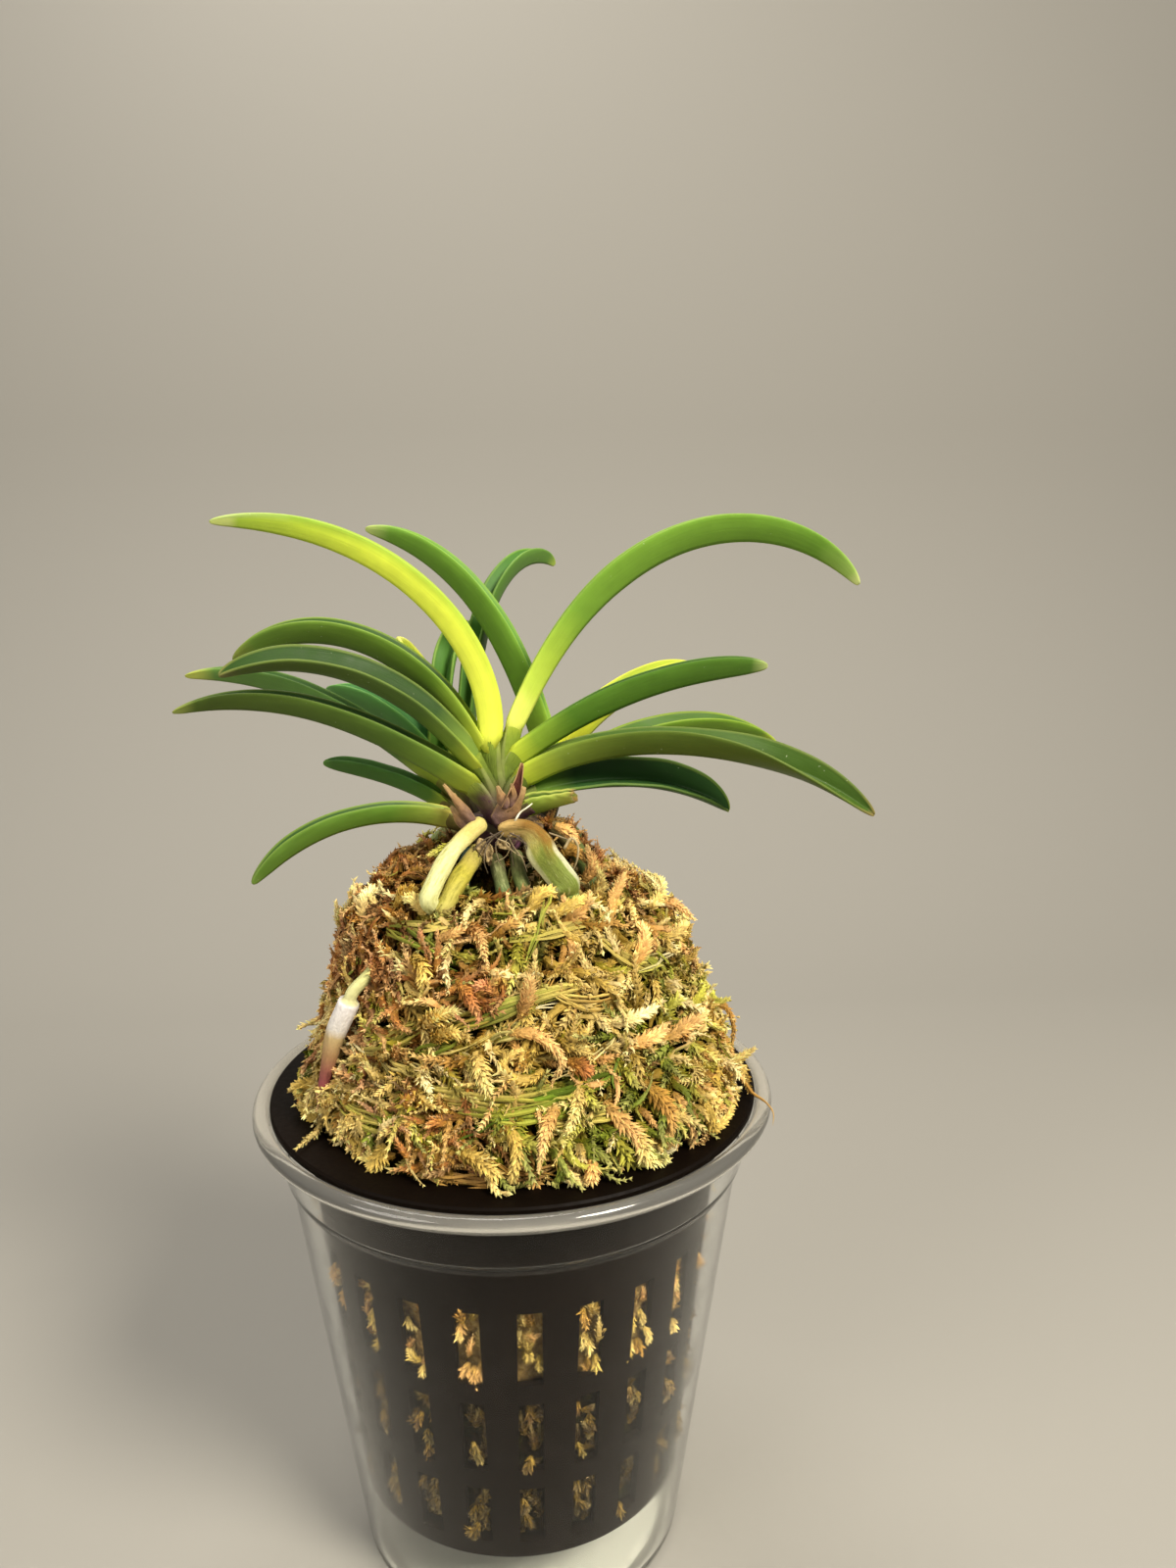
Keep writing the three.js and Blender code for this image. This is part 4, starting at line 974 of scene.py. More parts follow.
# Patches of another colour: azimuth in degrees, height over the lip, size, colours, share of the shoots.
PATCHES = [
    (-150, 27, 9, ("rust", "brown", "rust", "rose"), 0.85),
    (-128, 26, 8, ("rust", "brown", "peach", "tan"), 0.7),
    (-108, 26, 6, ("rust", "rust", "peach"), 0.5),
    (-112, 6, 7, ("brown", "rust", "tan"), 0.8),
    (-141, 37, 9, ("amber", "tan", "rust", "brown"), 0.85),
    (-168, 38, 11, ("amber", "brown", "tan", "rust"), 0.9),
    (-140, 12, 5, ("peach", "rust", "tan"), 0.5),
    (-104, 15, 3, ("peach", "rust"), 0.5),
    (-92, 1.5, 5, ("brown", "tan"), 0.7),
    (-68, 13, 3, ("brown", "rust"), 0.8),
    (-20, 38, 7, ("rust", "brown", "peach"), 0.75),
    (35, 39, 9, ("rust", "brown", "rose"), 0.8),
    (70, 38, 8, ("rust", "tan", "brown"), 0.6),
    (-75, 4, 9, ("pale", "cream", "peach"), 0.6),
    (-42, 5, 9, ("cream", "peach", "pale"), 0.6),
    (-62, 20, 7, ("pale", "cream", "cream"), 0.6),
    (-88, 19, 6, ("cream", "peach", "straw"), 0.5),
    (-150, 10, 12, ("cream", "pale", "straw", "cream"), 0.75),
    (-128, 2, 8, ("cream", "pale", "straw"), 0.6),
    (-35, 35, 6, ("pale", "peach", "cream"), 0.6),
    (-118, 34, 6, ("green", "olive", "green"), 0.8),
    (-97, 31, 5, ("green", "deep", "olive"), 0.7),
    (-124, 9, 5, ("green", "lime", "olive"), 0.8),
    (-92, 11, 5, ("green", "olive", "green"), 0.85),
    (-72, 11, 6, ("green", "lime", "green"), 0.85),
    (-55, 13, 6, ("green", "lime", "olive"), 0.85),
    (-42, 17, 6, ("green", "green", "lime"), 0.8),
    (-35, 29, 7, ("lime", "green", "olive"), 0.7),
    (-15, 20, 10, ("lime", "olive", "pale"), 0.7),
    (10, 14, 9, ("olive", "lime", "green"), 0.5),
    (-172, 10, 6, ("green", "olive"), 0.5),
    (50, 20, 9, ("green", "lime", "olive"), 0.5),
    (95, 12, 10, ("rust", "tan", "brown"), 0.5),
    (125, 26, 9, ("lime", "green", "olive"), 0.5),
    (165, 30, 8, ("rust", "brown", "tan"), 0.5),
    (150, 8, 9, ("olive", "lime"), 0.5),
]


def pick(names, count, rng):
    """One of these moss colours for each shoot."""
    return np.array([MOSS[names[k]] for k in rng.integers(0, len(names), count)])


def shoot_colours(rng, azimuth, distance):
    """A colour for each shoot by its place."""
    count, shares = len(azimuth), np.array(list(MAIN_MIX.values()))
    names = np.array(list(MAIN_MIX))[rng.choice(len(shares), count, p=shares / shares.sum())]
    colours = np.array([MOSS[name] for name in names])
    radius, height = on_profile(distance)
    for where, level, size, mix, share in PATCHES:
        turn = (azimuth - math.radians(where) + math.pi) % (2 * math.pi) - math.pi
        gap = np.hypot(turn * radius, height - level) / size
        hit = rng.random(count) < share * np.exp(-gap ** 2)
        colours = np.where(hit[:, None], pick(mix, count, rng), colours)
    return colours * rng.uniform(0.8, 1.12, (count, 1))


def clumps(azimuth, distance):
    """Hollows and clumps of the mound's surface, in millimetres."""
    broad = np.sin(31 * azimuth + 1.7 * np.sin(distance / 3))
    broad = broad * np.sin(1.15 * distance + 1.3 * np.sin(9 * azimuth))
    narrow = np.sin(19 * azimuth - 0.8 * distance + 2) * np.sin(0.62 * distance + 7 * azimuth)
    return 0.6 * broad + 0.5 * narrow


def shoot_paths(azimuth, distance, turn, length, curl, lift, tip_lift, steps):
    """Axis points and axes of shoots that creep over the mound. All inputs hold one value a shoot."""
    share = np.linspace(0, 1, steps)[None]
    angle = turn[:, None] + curl[:, None] * share
    step = length[:, None] / (steps - 1)
    a = azimuth[:, None] + np.cumsum(np.cos(angle) * step, 1) / on_profile(distance)[0][:, None]
    d = distance[:, None] + np.cumsum(np.sin(angle) * step, 1)
    over = lift[:, None] + tip_lift[:, None] * share ** 1.7 + clumps(a, d)
    return (*mound_point(a, d, over), over)


def lit(over):
    """How bright a part of the moss is painted by its height over the mound: painted shade makes what lies deep
    dark, as in the shade of the hollows.
    """
    return np.interp(over, [-0.8, 0.4, 1.8, 4], [0.26, 0.55, 0.95, 1.12])


def taper(share):
    """Thickness of a shoot along its length: a slim foot, a full body and a pointed tip."""
    return np.minimum(1, 0.55 + 2.2 * share) * (1 - share ** 1.7) ** 0.8


def shoot_axes(point, out):
    """Axes along, out of and across shoots at each of their points."""
    tangent = unit(np.gradient(point, axis=1))
    out = unit(out - tangent * np.sum(out * tangent, -1, keepdims=True))
    return tangent, out, np.cross(tangent, out)


def shoot_tint(colour, share, over):
    """Colours along shoots: dull straw at the foot, their own colour, then paler at the tip, with painted shade
    by their height over the mound.
    """
    own = colour[:, None]
    share = share[..., None]
    foot = MOSS["straw"] * (0.55, 0.5, 0.3)
    tone = foot + (own - foot) * np.clip(0.4 + 1.5 * share, 0, 1)
    tone = tone + (MOSS["pale"] - tone) * 0.4 * share ** 2.2
    # Painted shade: low parts are tinted browner and darker, and high parts paler, as shade and light make
    # them.
    out_of_shade = np.interp(over, [-0.8, 1.8], [0, 1])[..., None]
    return tone * lit(over)[..., None] * (SHADED_TINT + (LIT_TINT - SHADED_TINT) * out_of_shade)


def shoot_bodies(point, out, over, radius, colour, rng, sides):
    """Tapering bodies of shoots. point and out are (shoots, steps, 3), and over is (shoots, steps)."""
    shoots, steps, _ = point.shape
    _, out, lateral = shoot_axes(point, out)
    share = np.linspace(0, 1, steps)[None]
    thick = radius[:, None] * (taper(share) + 0.05) * rng.uniform(0.86, 1.14, (shoots, steps))
    angle = turns(sides)
    ring = lateral[:, :, None] * np.cos(angle)[:, None] + out[:, :, None] * np.sin(angle)[:, None]
    corners = point[:, :, None] + ring * thick[..., None, None]
    step, side = np.meshgrid(np.arange(steps - 1), np.arange(sides), indexing="ij")
    a, b = step * sides + side, step * sides + (side + 1) % sides
    quads = np.stack([a, b, b + sides, a + sides], -1).reshape(-1, 4)
    faces = (np.arange(shoots)[:, None, None] * steps * sides + quads[None]).reshape(-1, 4)
    tint = shoot_tint(colour, np.broadcast_to(share, (shoots, steps)), over)[:, :, None] * 0.8
    # Painted shade: each body is darker on its side towards the mound and lighter on its outer side.
    tint = tint * (0.8 + 0.2 * np.sin(angle))[:, None]
    return corners.reshape(-1, 3), faces.tolist(), {"tint": tint.reshape(-1, 3)}


def leaflets(point, out, over, radius, colour, rng, ranks, opening=0.42, slim=0.5, length=1.5, burst=0.0):
    """Overlapping leaflets along shoots, two triangles each. opening and burst (longer, wider
    leaflets at the tip) are one value, one a shoot, or a pair to draw them between."""
    shoots, steps, _ = point.shape
    opening, burst = (rng.uniform(*v, shoots) if isinstance(v, tuple) else v for v in (opening, burst))
    tangent, out, lateral = shoot_axes(point, out)
    share = np.linspace(0, 0.97, steps)[None, :, None]
    offsets = (np.arange(ranks)[None, None] + 0.5 * (np.arange(steps)[None, :, None] % 2)) / ranks
    angle = math.radians(-35) + math.radians(250) * offsets
    angle = angle + rng.normal(0, 0.25, (shoots, steps, ranks))
    radial = lateral[:, :, None] * np.cos(angle)[..., None] + out[:, :, None] * np.sin(angle)[..., None]
    opening, burst = (np.broadcast_to(v, shoots)[:, None, None] for v in (opening, burst))
    body = taper(share) * radius[:, None, None]
    reach = (0.45 + burst * share ** 5) * radius[:, None, None] + 0.75 * body
    reach = length * reach * (0.75 + 0.7 * opening) * rng.uniform(0.7, 1.3, (shoots, steps, ranks))
    spread = opening * rng.uniform(0.5, 1.5, (shoots, steps, ranks)) * (1 - 0.5 * (1 - burst) * share ** 2)
    along = tangent[:, :, None]
    direction = along * np.cos(spread)[..., None] + radial * np.sin(spread)[..., None]
    outward = radial * np.cos(spread)[..., None] - along * np.sin(spread)[..., None]
    across = np.cross(direction, outward)
    base = point[:, :, None] + radial * (0.8 * body)[..., None]
    reach = reach[..., None]
    half = slim * 0.5 * reach / (0.75 + 0.7 * opening[..., None])
    left = base + direction * 0.4 * reach - across * half - outward * 0.16 * reach
    right = base + direction * 0.4 * reach + across * half - outward * 0.16 * reach
    tip = base + direction * reach + outward * 0.08 * reach
    corners = np.stack([base, left, tip, right], -2).reshape(-1, 3)
    first = 4 * np.arange(shoots * steps * ranks)[:, None]
    faces = (first[:, None] + np.array([[0, 2, 1], [0, 3, 2]])[None]).reshape(-1, 3)
    tone = shoot_tint(colour, np.broadcast_to(share[..., 0], (shoots, steps)), over)
    # Painted shade at each leaflet's base and a painted highlight at its tip, with its sides between.
    painted_corner_light = np.array([0.52, 0.92, 1.35, 0.92])
    leaf_bright = rng.uniform(0.72, 1.25, (shoots, steps, ranks))
    tint = tone[:, :, None, None] * leaf_bright[..., None, None] * painted_corner_light[:, None]
    return corners, faces.tolist(), {"tint": tint.reshape(-1, 3)}


def leafy(shoots, radius, colours, rng, sides, ranks, **leaves):
    """Bodies and leaflets of shoots, which hold their axis points, outward axes and heights over the mound."""
    return [shoot_bodies(*shoots, radius, colours, rng, sides),
            leaflets(*shoots, radius, colours, rng, ranks, **leaves)]


def moss_piece(name, forms, look):
    """One piece of moss from many small forms."""
    points, faces, values = join(forms)
    piece(name, (points, faces, {"tint": np.clip(values["tint"], 0, 1)}), look, smooth=False)


def moss_look():
    """Moss with a colour at each point, made uneven."""
    look = Look("moss")
    tint = look.read("tint", "Color")
    fine = look.noise(2600, 3)
    broad = look.noise(130, 3)
    colour = look.shade(tint, look.vary(fine, 0.84, 1.12))
    colour = look.shade(colour, look.span(broad, 0.35, 0.65, 0.76, 1.12))
    look.set(Base_Color=colour, Roughness=0.5, Specular_IOR_Level=0.12)
    return look.bump(fine, 0.35, 0.0003).material


GOLDEN_ANGLE = math.radians(137.508)  # from one place to the next, so that no rows show


def even_places(count, low, high, rng):
    """Azimuths and distances spread evenly over the mound between two distances along its profile."""
    grid = np.linspace(low, high, 200)
    radius, _ = on_profile(grid)
    area = np.r_[0, np.cumsum((radius[1:] + radius[:-1]) / 2)]
    share = (np.arange(count) + rng.random(count)) / count
    distance = np.interp(share * area[-1], area, grid)
    azimuth = (np.arange(count) * GOLDEN_ANGLE + rng.normal(0, 0.03, count)) % (2 * math.pi) - math.pi
    return azimuth, distance


def flow(rng, azimuth, distance):
    """Heading of the shoots: hanging on the low flank, sweeping across the middle, mixed at the top."""
    count = len(azimuth)
    random_turn = rng.uniform(-math.pi, math.pi, count)
    sweep = math.radians(22) + rng.normal(0, 0.6, count) + math.pi * rng.integers(0, 2, count)
    turn = np.where(rng.random(count) < 0.35, sweep, random_turn)
    hanging = -math.pi / 2 + rng.normal(0, 0.55, count)
    chance = np.interp(distance, [6, 14, 30], [0.85, 0.6, 0.25])
    return np.where(rng.random(count) < chance, hanging, turn)


def creeping(rng, count, low, high, length, curl, lift, tip_lift, steps):
    """Places and paths of shoots spread over the mound between two distances along its profile."""
    azimuth, distance = even_places(count, low, high, rng)
    turn = flow(rng, azimuth, distance)
    length = rng.uniform(*length, count)
    distance = np.where(np.sin(turn) < -0.5, np.maximum(distance, length * 0.8), distance)
    shoots = shoot_paths(azimuth, distance, turn, length, rng.normal(0, curl, count),
                         rng.uniform(*lift, count), rng.uniform(*tip_lift, count), steps)
    return azimuth, distance, shoots


def scattered_shoots(name, look, rng, count, low, high, length, lift, tip_lift, radius, steps, ranks, sides):
    """Leafy shoots spread over the mound. Pairs are ranges."""
    azimuth, distance, shoots = creeping(rng, count, low, high, length, 1.0, lift, tip_lift, steps)
    colours = shoot_colours(rng, azimuth, distance)
    radius = rng.uniform(*radius, count)
    opening, burst = rng.uniform(0.22, 0.62, count), rng.uniform(0, 0.7, count)
    moss_piece(name, leafy(shoots, radius, colours, rng, sides, ranks, opening=opening, slim=0.58, length=1.4,
                           burst=burst), look)


def add_bare_shoots(look, rng, count=420):
    """Thick curling shoots with hardly any leaflets."""
    azimuth, distance, shoots = creeping(rng, count, low=3, high=RIM_AT + 3, length=(4.5, 10), curl=1.5,
                                         lift=(-0.2, 1.2), tip_lift=(0.2, 3.0), steps=13)
    own = pick(("cream", "peach", "pale", "straw"), count, rng)
    placed = shoot_colours(rng, azimuth, distance)
    colours = np.where(rng.random(count)[:, None] < 0.55, own, placed)
    radius = rng.uniform(0.42, 0.85, count)
    moss_piece("moss_bare_shoots", [
        shoot_bodies(*shoots, radius, colours * 1.1, rng, sides=6),
        leaflets(*shoots, radius * 0.8, colours, rng, ranks=2, opening=0.5, burst=0.8),
    ], look)


def bundle(path, out, strands, width, first, last, rng, radius, sides):
    """Thin strands side by side along a path, from one colour to another."""
    steps = len(path)
    tangent = unit(np.gradient(path, axis=0))
    lateral = np.cross(tangent, out)
    share = np.linspace(0, 1, steps)
    angle = turns(sides)[:, None]
    round_strand = lateral[:, None] * np.cos(angle) * 1.25 + out[:, None] * np.sin(angle)
    forms = []
    for k in range(strands):
        aside = (k + 0.5) / strands * 2 - 1 + rng.normal(0, 0.15)
        phase = rng.uniform(0, 6.28, 3)
        fan = 0.3 + 0.7 * share ** 1.5 if rng.random() < 0.5 else 0.4 + 0.6 * np.sin(math.pi * share)
        shift = width / 2 * aside * fan
        shift = shift + 0.4 * np.sin(5 * share + phase[0]) + 0.15 * np.sin(13 * share + phase[2])
        rise = 0.5 * np.sin(4 * share + phase[1]) + 0.3 * (1 - aside ** 2)
        centre = path + lateral * shift[:, None] + out * rise[:, None]
        thick = radius * rng.uniform(0.6, 1.3) * np.sqrt(np.sin(math.pi * (0.04 + 0.92 * share)))
        points = centre[:, None] + round_strand * thick[:, None, None]
        mixed = first + (last - first) * np.clip(share + rng.uniform(-0.3, 0.3), 0, 1)[:, None]
        tint = np.repeat(mixed * rng.uniform(0.5, 1.1), sides, 0)
        forms.append((points.reshape(-1, 3), skin_faces(steps, sides), {"tint": tint}))
    return join(forms)


def seen_path(pixels, lift, steps, tip_lift=0.0):
    """Points and outward axes of a path over the mound through points of the view."""
    places = np.array([on_mound(x, y) for x, y in pixels])
    places[:, 0] = np.unwrap(places[:, 0])
    line = smooth_path(np.column_stack([places[:, 0] * AROUND, places[:, 1], 0 * places[:, 1]]), steps)
    share = np.linspace(0, 1, steps)
    hump = lift * np.sin(math.pi * np.clip(share + 0.12, 0, 1)) ** 0.5 + tip_lift * share ** 2
    return (*mound_point(line[:, 0] / AROUND, line[:, 1], hump), hump)


# Bundles of long strands on the face of the mound: points of the view, number of strands, width, and the
# colours of their start and end.
STRANDS = [
    ([(362, 1071), (400, 1062), (442, 1045)], 9, 4.6, "straw", "olive"),
    ([(440, 1052), (479, 1040), (540, 1023)], 9, 3.6, "olive", "tan"),
    ([(470, 1052), (505, 1032), (560, 1012), (610, 1004)], 8, 2.6, "green", "straw"),
    ([(398, 952), (430, 966), (470, 984)], 6, 2.8, "olive", "green"),
    ([(496, 1010), (512, 996), (530, 982)], 6, 2.4, "green", "olive"),
    ([(430, 1075), (455, 1064), (480, 1052)], 6, 2.4, "green", "olive"),
    ([(430, 1110), (480, 1118), (540, 1120), (600, 1108)], 11, 4.6, "straw", "olive"),
    ([(470, 1132), (510, 1138), (550, 1132), (602, 1116)], 8, 3.4, "olive", "green"),
    ([(530, 1122), (570, 1116), (610, 1102), (634, 1090)], 7, 2.8, "green", "deep"),
    ([(429, 1192), (470, 1197), (529, 1199)], 9, 3.6, "tan", "brown"),
    ([(480, 1190), (530, 1192), (580, 1184)], 7, 3.0, "brown", "tan"),
    ([(350, 1120), (385, 1140), (430, 1148)], 7, 3.4, "olive", "straw"),
    ([(385, 1131), (400, 1142), (420, 1153)], 6, 2.4, "green", "olive"),
    ([(560, 1150), (600, 1140), (650, 1118)], 7, 3.2, "straw", "olive"),
    ([(640, 960), (670, 990), (690, 1020)], 8, 3.4, "olive", "lime"),
    ([(600, 960), (640, 985), (670, 1000)], 7, 3.0, "straw", "olive"),
    ([(410, 948), (440, 950), (470, 940)], 7, 3.0, "olive", "straw"),
    ([(520, 960), (560, 958), (600, 942)], 7, 3.0, "olive", "straw"),
    ([(350, 960), (372, 985), (380, 1010)], 7, 3.0, "brown", "rust"),
    ([(400, 1080), (430, 1095), (450, 1120)], 6, 2.6, "straw", "cream"),
    ([(560, 1010), (590, 1022), (640, 1018)], 7, 3.0, "straw", "tan"),
    ([(500, 1062), (520, 1050), (560, 1046)], 6, 2.4, "olive", "cream"),
]
# Single shoots on the face of the mound: points of the view from foot to tip, radius, colour, and how far
# the tip lifts.
SHOOTS = [
    ([(618, 945), (620, 920), (617, 893)], 0.9, "peach", 2.5),
    ([(640, 985), (644, 965), (640, 947)], 1.1, "peach", 2.5),
    ([(632, 1068), (652, 1058), (673, 1044)], 1.0, "peach", 1.6),
    ([(668, 1062), (690, 1048), (708, 1030)], 1.0, "peach", 2.5),
    ([(612, 1044), (640, 1036), (664, 1024)], 0.9, "pale", 1.4),
    ([(488, 1072), (495, 1095), (503, 1122)], 1.0, "cream", 1.6),
    ([(520, 1052), (548, 1054), (570, 1080), (562, 1108)], 0.9, "peach", 0.8),
    ([(566, 1128), (556, 1150), (548, 1186)], 1.0, "peach", 2.6),
    ([(588, 1104), (584, 1130), (572, 1166)], 0.9, "cream", 2.2),
    ([(612, 1124), (632, 1150), (650, 1172), (668, 1180)], 1.0, "peach", 2.0),
    ([(652, 1104), (668, 1130), (676, 1158)], 1.1, "tan", 1.6),
    ([(706, 1122), (716, 1145), (724, 1164)], 0.9, "straw", 2.2),
    ([(690, 1034), (700, 1015), (702, 996)], 0.8, "lime", 1.8),
    ([(712, 1036), (716, 1016), (718, 1000)], 0.8, "lime", 2.0),
    ([(438, 1046), (455, 1034), (474, 1030)], 1.0, "cream", 1.4),
    ([(446, 1060), (462, 1050), (478, 1056)], 0.9, "straw", 1.4),
    ([(530, 1036), (538, 1012), (540, 992)], 0.9, "peach", 2.2),
    ([(470, 1000), (482, 1016), (492, 1040)], 0.9, "rust", 0.8),
    ([(508, 1014), (496, 1006), (484, 1010)], 0.8, "rose", 1.2),
    ([(576, 1082), (588, 1088), (598, 1098)], 1.0, "rust", 0.6),
    ([(470, 1172), (492, 1180), (520, 1196)], 1.0, "straw", 1.6),
    ([(520, 1150), (528, 1172), (520, 1200)], 1.0, "straw", 2.4),
    ([(350, 950), (360, 935), (372, 920)], 0.9, "pale", 2.2),
    ([(378, 940), (386, 925), (396, 915)], 0.9, "pale", 2.0),
    ([(330, 1108), (318, 1112), (308, 1116)], 0.9, "straw", 2.8),
    ([(338, 1152), (326, 1160), (316, 1166)], 0.9, "straw", 3.0),
    ([(352, 1178), (350, 1192), (346, 1204)], 0.9, "tan", 3.0),
    ([(400, 1165), (396, 1182), (388, 1198)], 1.0, "straw", 2.4),
    ([(600, 1178), (596, 1192), (590, 1204)], 0.9, "peach", 2.4),
    ([(640, 1150), (648, 1172), (664, 1190)], 1.0, "cream", 2.8),
    ([(372, 905), (392, 885), (418, 868)], 0.9, "tan", 1.0),
    ([(348, 935), (344, 922), (350, 912)], 0.8, "cream", 2.2),
    ([(655, 935), (662, 912), (660, 893)], 0.8, "cream", 3.0),
    ([(672, 960), (690, 940), (704, 922)], 0.9, "cream", 2.6),
    ([(538, 935), (548, 925), (553, 912)], 1.0, "straw", 1.4),
    ([(560, 942), (582, 930), (596, 918)], 1.0, "straw", 1.2),
    ([(436, 928), (448, 915), (462, 920)], 0.9, "olive", 1.0),
    ([(410, 930), (424, 922), (440, 926)], 1.0, "straw", 1.8),
    ([(440, 938), (432, 928), (420, 924)], 0.9, "cream", 1.8),
    ([(452, 934), (444, 926), (436, 930)], 0.8, "tan", 1.6),
    ([(480, 950), (492, 962), (498, 985)], 0.9, "peach", 1.4),
    ([(430, 975), (440, 990), (436, 1012)], 1.0, "straw", 1.0),
    ([(450, 965), (470, 960), (484, 944)], 0.8, "peach", 1.2),
]
# Shoots that stand free of the mound: points of the view, depth in y (None where the first point's foot
# on the mound gives it), radius, colour.
WISPS = [
    ([(664, 926), (672, 914), (669, 903), (660, 893)], None, 0.9, "pale"),
    ([(668, 928), (686, 922), (698, 929), (706, 936)], None, 0.8, "peach"),
    ([(684, 960), (698, 955), (704, 946)], None, 0.8, "straw"),
    ([(690, 985), (703, 978), (710, 970)], None, 0.7, "straw"),
    ([(705, 1015), (714, 1006), (718, 996)], None, 0.9, "lime"),
    ([(712, 1032), (728, 1024), (742, 1020)], None, 0.8, "lime"),
    ([(737, 1026), (747, 1040), (748, 1058), (743, 1080)], None, 0.6, "tan"),
    ([(722, 1060), (732, 1050), (741, 1038)], None, 0.5, "straw"),
    ([(735, 1092), (750, 1082), (767, 1072)], None, 0.9, "cream"),
    ([(740, 1082), (755, 1092), (764, 1112)], None, 1.0, "straw"),
    ([(722, 1098), (725, 1125), (724, 1148), (718, 1163)], None, 1.0, "peach"),
    ([(736, 1110), (748, 1122), (736, 1134), (727, 1142)], None, 0.5, "straw"),
    ([(466, 862), (454, 866), (441, 871)], -9, 0.75, "lime"),
    ([(352, 950), (345, 938), (343, 924)], None, 0.9, "pale"),
    ([(566, 842), (578, 848), (588, 858)], -8, 0.9, "peach"),
    ([(572, 872), (582, 868), (592, 872), (600, 880)], -11, 0.9, "tan"),
    ([(596, 900), (604, 884), (600, 868)], -12, 1.0, "peach"),
    ([(604, 918), (612, 900), (608, 884)], None, 1.0, "cream"),
    ([(318, 1104), (308, 1110), (298, 1112)], None, 0.8, "straw"),
    ([(326, 1150), (314, 1162), (304, 1171)], None, 0.8, "cream"),
]
# Fluffy tufts: point of the view, depth in y, size, number of shoots, colours.
TUFTS = [
    ((560, 842), 1, 2.6, 26, ("amber", "rust", "tan")),
    ((576, 850), 0, 2.8, 30, ("amber", "tan", "rust")),
    ((592, 864), -1, 2.8, 30, ("rust", "amber", "brown")),
    ((608, 878), -3, 2.6, 30, ("amber", "rust", "rose")),
    ((628, 896), -5, 2.4, 26, ("rust", "amber", "tan")),
]
# Fluffy patches on the face of the mound: point of the view, spread, number of shoots, colours.
FLUFF = [
    ((352, 955), 3.2, 26, ("amber", "rose", "tan")),
    ((350, 990), 3.6, 30, ("amber", "rust", "blush")),
    ((385, 985), 3.6, 26, ("rust", "amber", "blush")),
    ((420, 1000), 3.4, 22, ("amber", "rust", "rose")),
    ((455, 1005), 2.6, 14, ("rust", "amber", "rose")),
    ((440, 1162), 3.6, 28, ("amber", "rust", "tan")),
    ((465, 1168), 3.0, 16, ("brown", "amber", "tan")),
    ((404, 900), 3.4, 22, ("amber", "brown", "tan")),
    ((424, 884), 3.2, 20, ("amber", "brown", "rust")),
    ((375, 1100), 4.2, 20, ("cream", "pale", "blush")),
    ((360, 1150), 4.4, 22, ("cream", "pale", "straw")),
    ((400, 1125), 4.2, 18, ("cream", "blush", "straw")),
]
# Tufts that the front view hides: place in millimetres, size, number of shoots, colours.
BACK_TUFTS = [
    ((6, 5, 134.6), 3.6, 22, ("brown", "tan", "rust")),
    ((0, 4, 133.2), 3.8, 22, ("brown", "tan", "amber")),
    ((-4, 7, 133.4), 3.8, 20, ("brown", "tan", "rust")),
    ((5, 10, 133.4), 3.8, 20, ("brown", "amber", "tan")),
    ((2, 10, 134.6), 3.8, 22, ("brown", "amber", "tan")),
    ((-5, 12, 134.8), 3.8, 22, ("brown", "tan", "rust")),
    ((-10, 6, 134.8), 3.4, 22, ("brown", "amber", "straw")),
    ((-26.8, -17, 113.6), 2.6, 14, ("straw", "olive", "cream")),
    ((-28.6, -16, 108.6), 2.6, 14, ("straw", "cream", "tan")),
    ((-29.8, -15.8, 103.6), 2.4, 14, ("cream", "straw", "pale")),
]
# A hair-thin shoot that runs out over the cup's rim: points in millimetres, radius, colour.
HAIR = ([(38.6, -12, 95.5), (40.7, -12, 94.4), (42.1, -14, 93), (43.4, -15.2, 92.4), (44.2, -17, 92.2),
         (44.8, -18.6, 91.4), (44.6, -19.4, 89.4)], 0.3, "tan")
# A shoot that curls into a ring: centre and radii in the view, radius, colour.
RING = ((534, 1086), (19, 16), 0.85, "straw")
BARE_UNDER = 0.4  # a shoot whose radius is no more than this has no leaflets


def tuft(centre, size, count, names, rng):
    """Shoots that stand out on all sides of a point, and their colours."""
    way = unit(rng.normal(0, 1, (count, 3)) + (0, -0.5, 0.5))
    bend = unit(rng.normal(0, 1, (count, 3)))
    share = np.linspace(0, 1, 8)[None, :, None]
    length = size * rng.uniform(0.6, 1.1, (count, 1, 1))
    path = centre + way[:, None] * length * (0.1 + 0.9 * share) + bend[:, None] * 0.7 * length * share ** 2
    out = np.broadcast_to(unit(np.cross(bend, way))[:, None], path.shape)
    # Their height over the mound, which sets their painted shade.
    over = np.broadcast_to(0.6 + 1.7 * share[..., 0], path.shape[:2])
    colours = pick(names, count, rng)
    return (path, out, over), colours * rng.uniform(0.8, 1.25, (count, 1))


def over_lip(x, y, depth):
    """A point of the view at one depth, or nearer where it would lie under the pot's lip."""
    point = at_depth(x, y, depth)
    level = MOSS_BASE + 0.8
    if point[2] < level:
        start, direction = view_ray(x, y)
        point = start + direction * (level - start[2]) / direction[2]
    return point


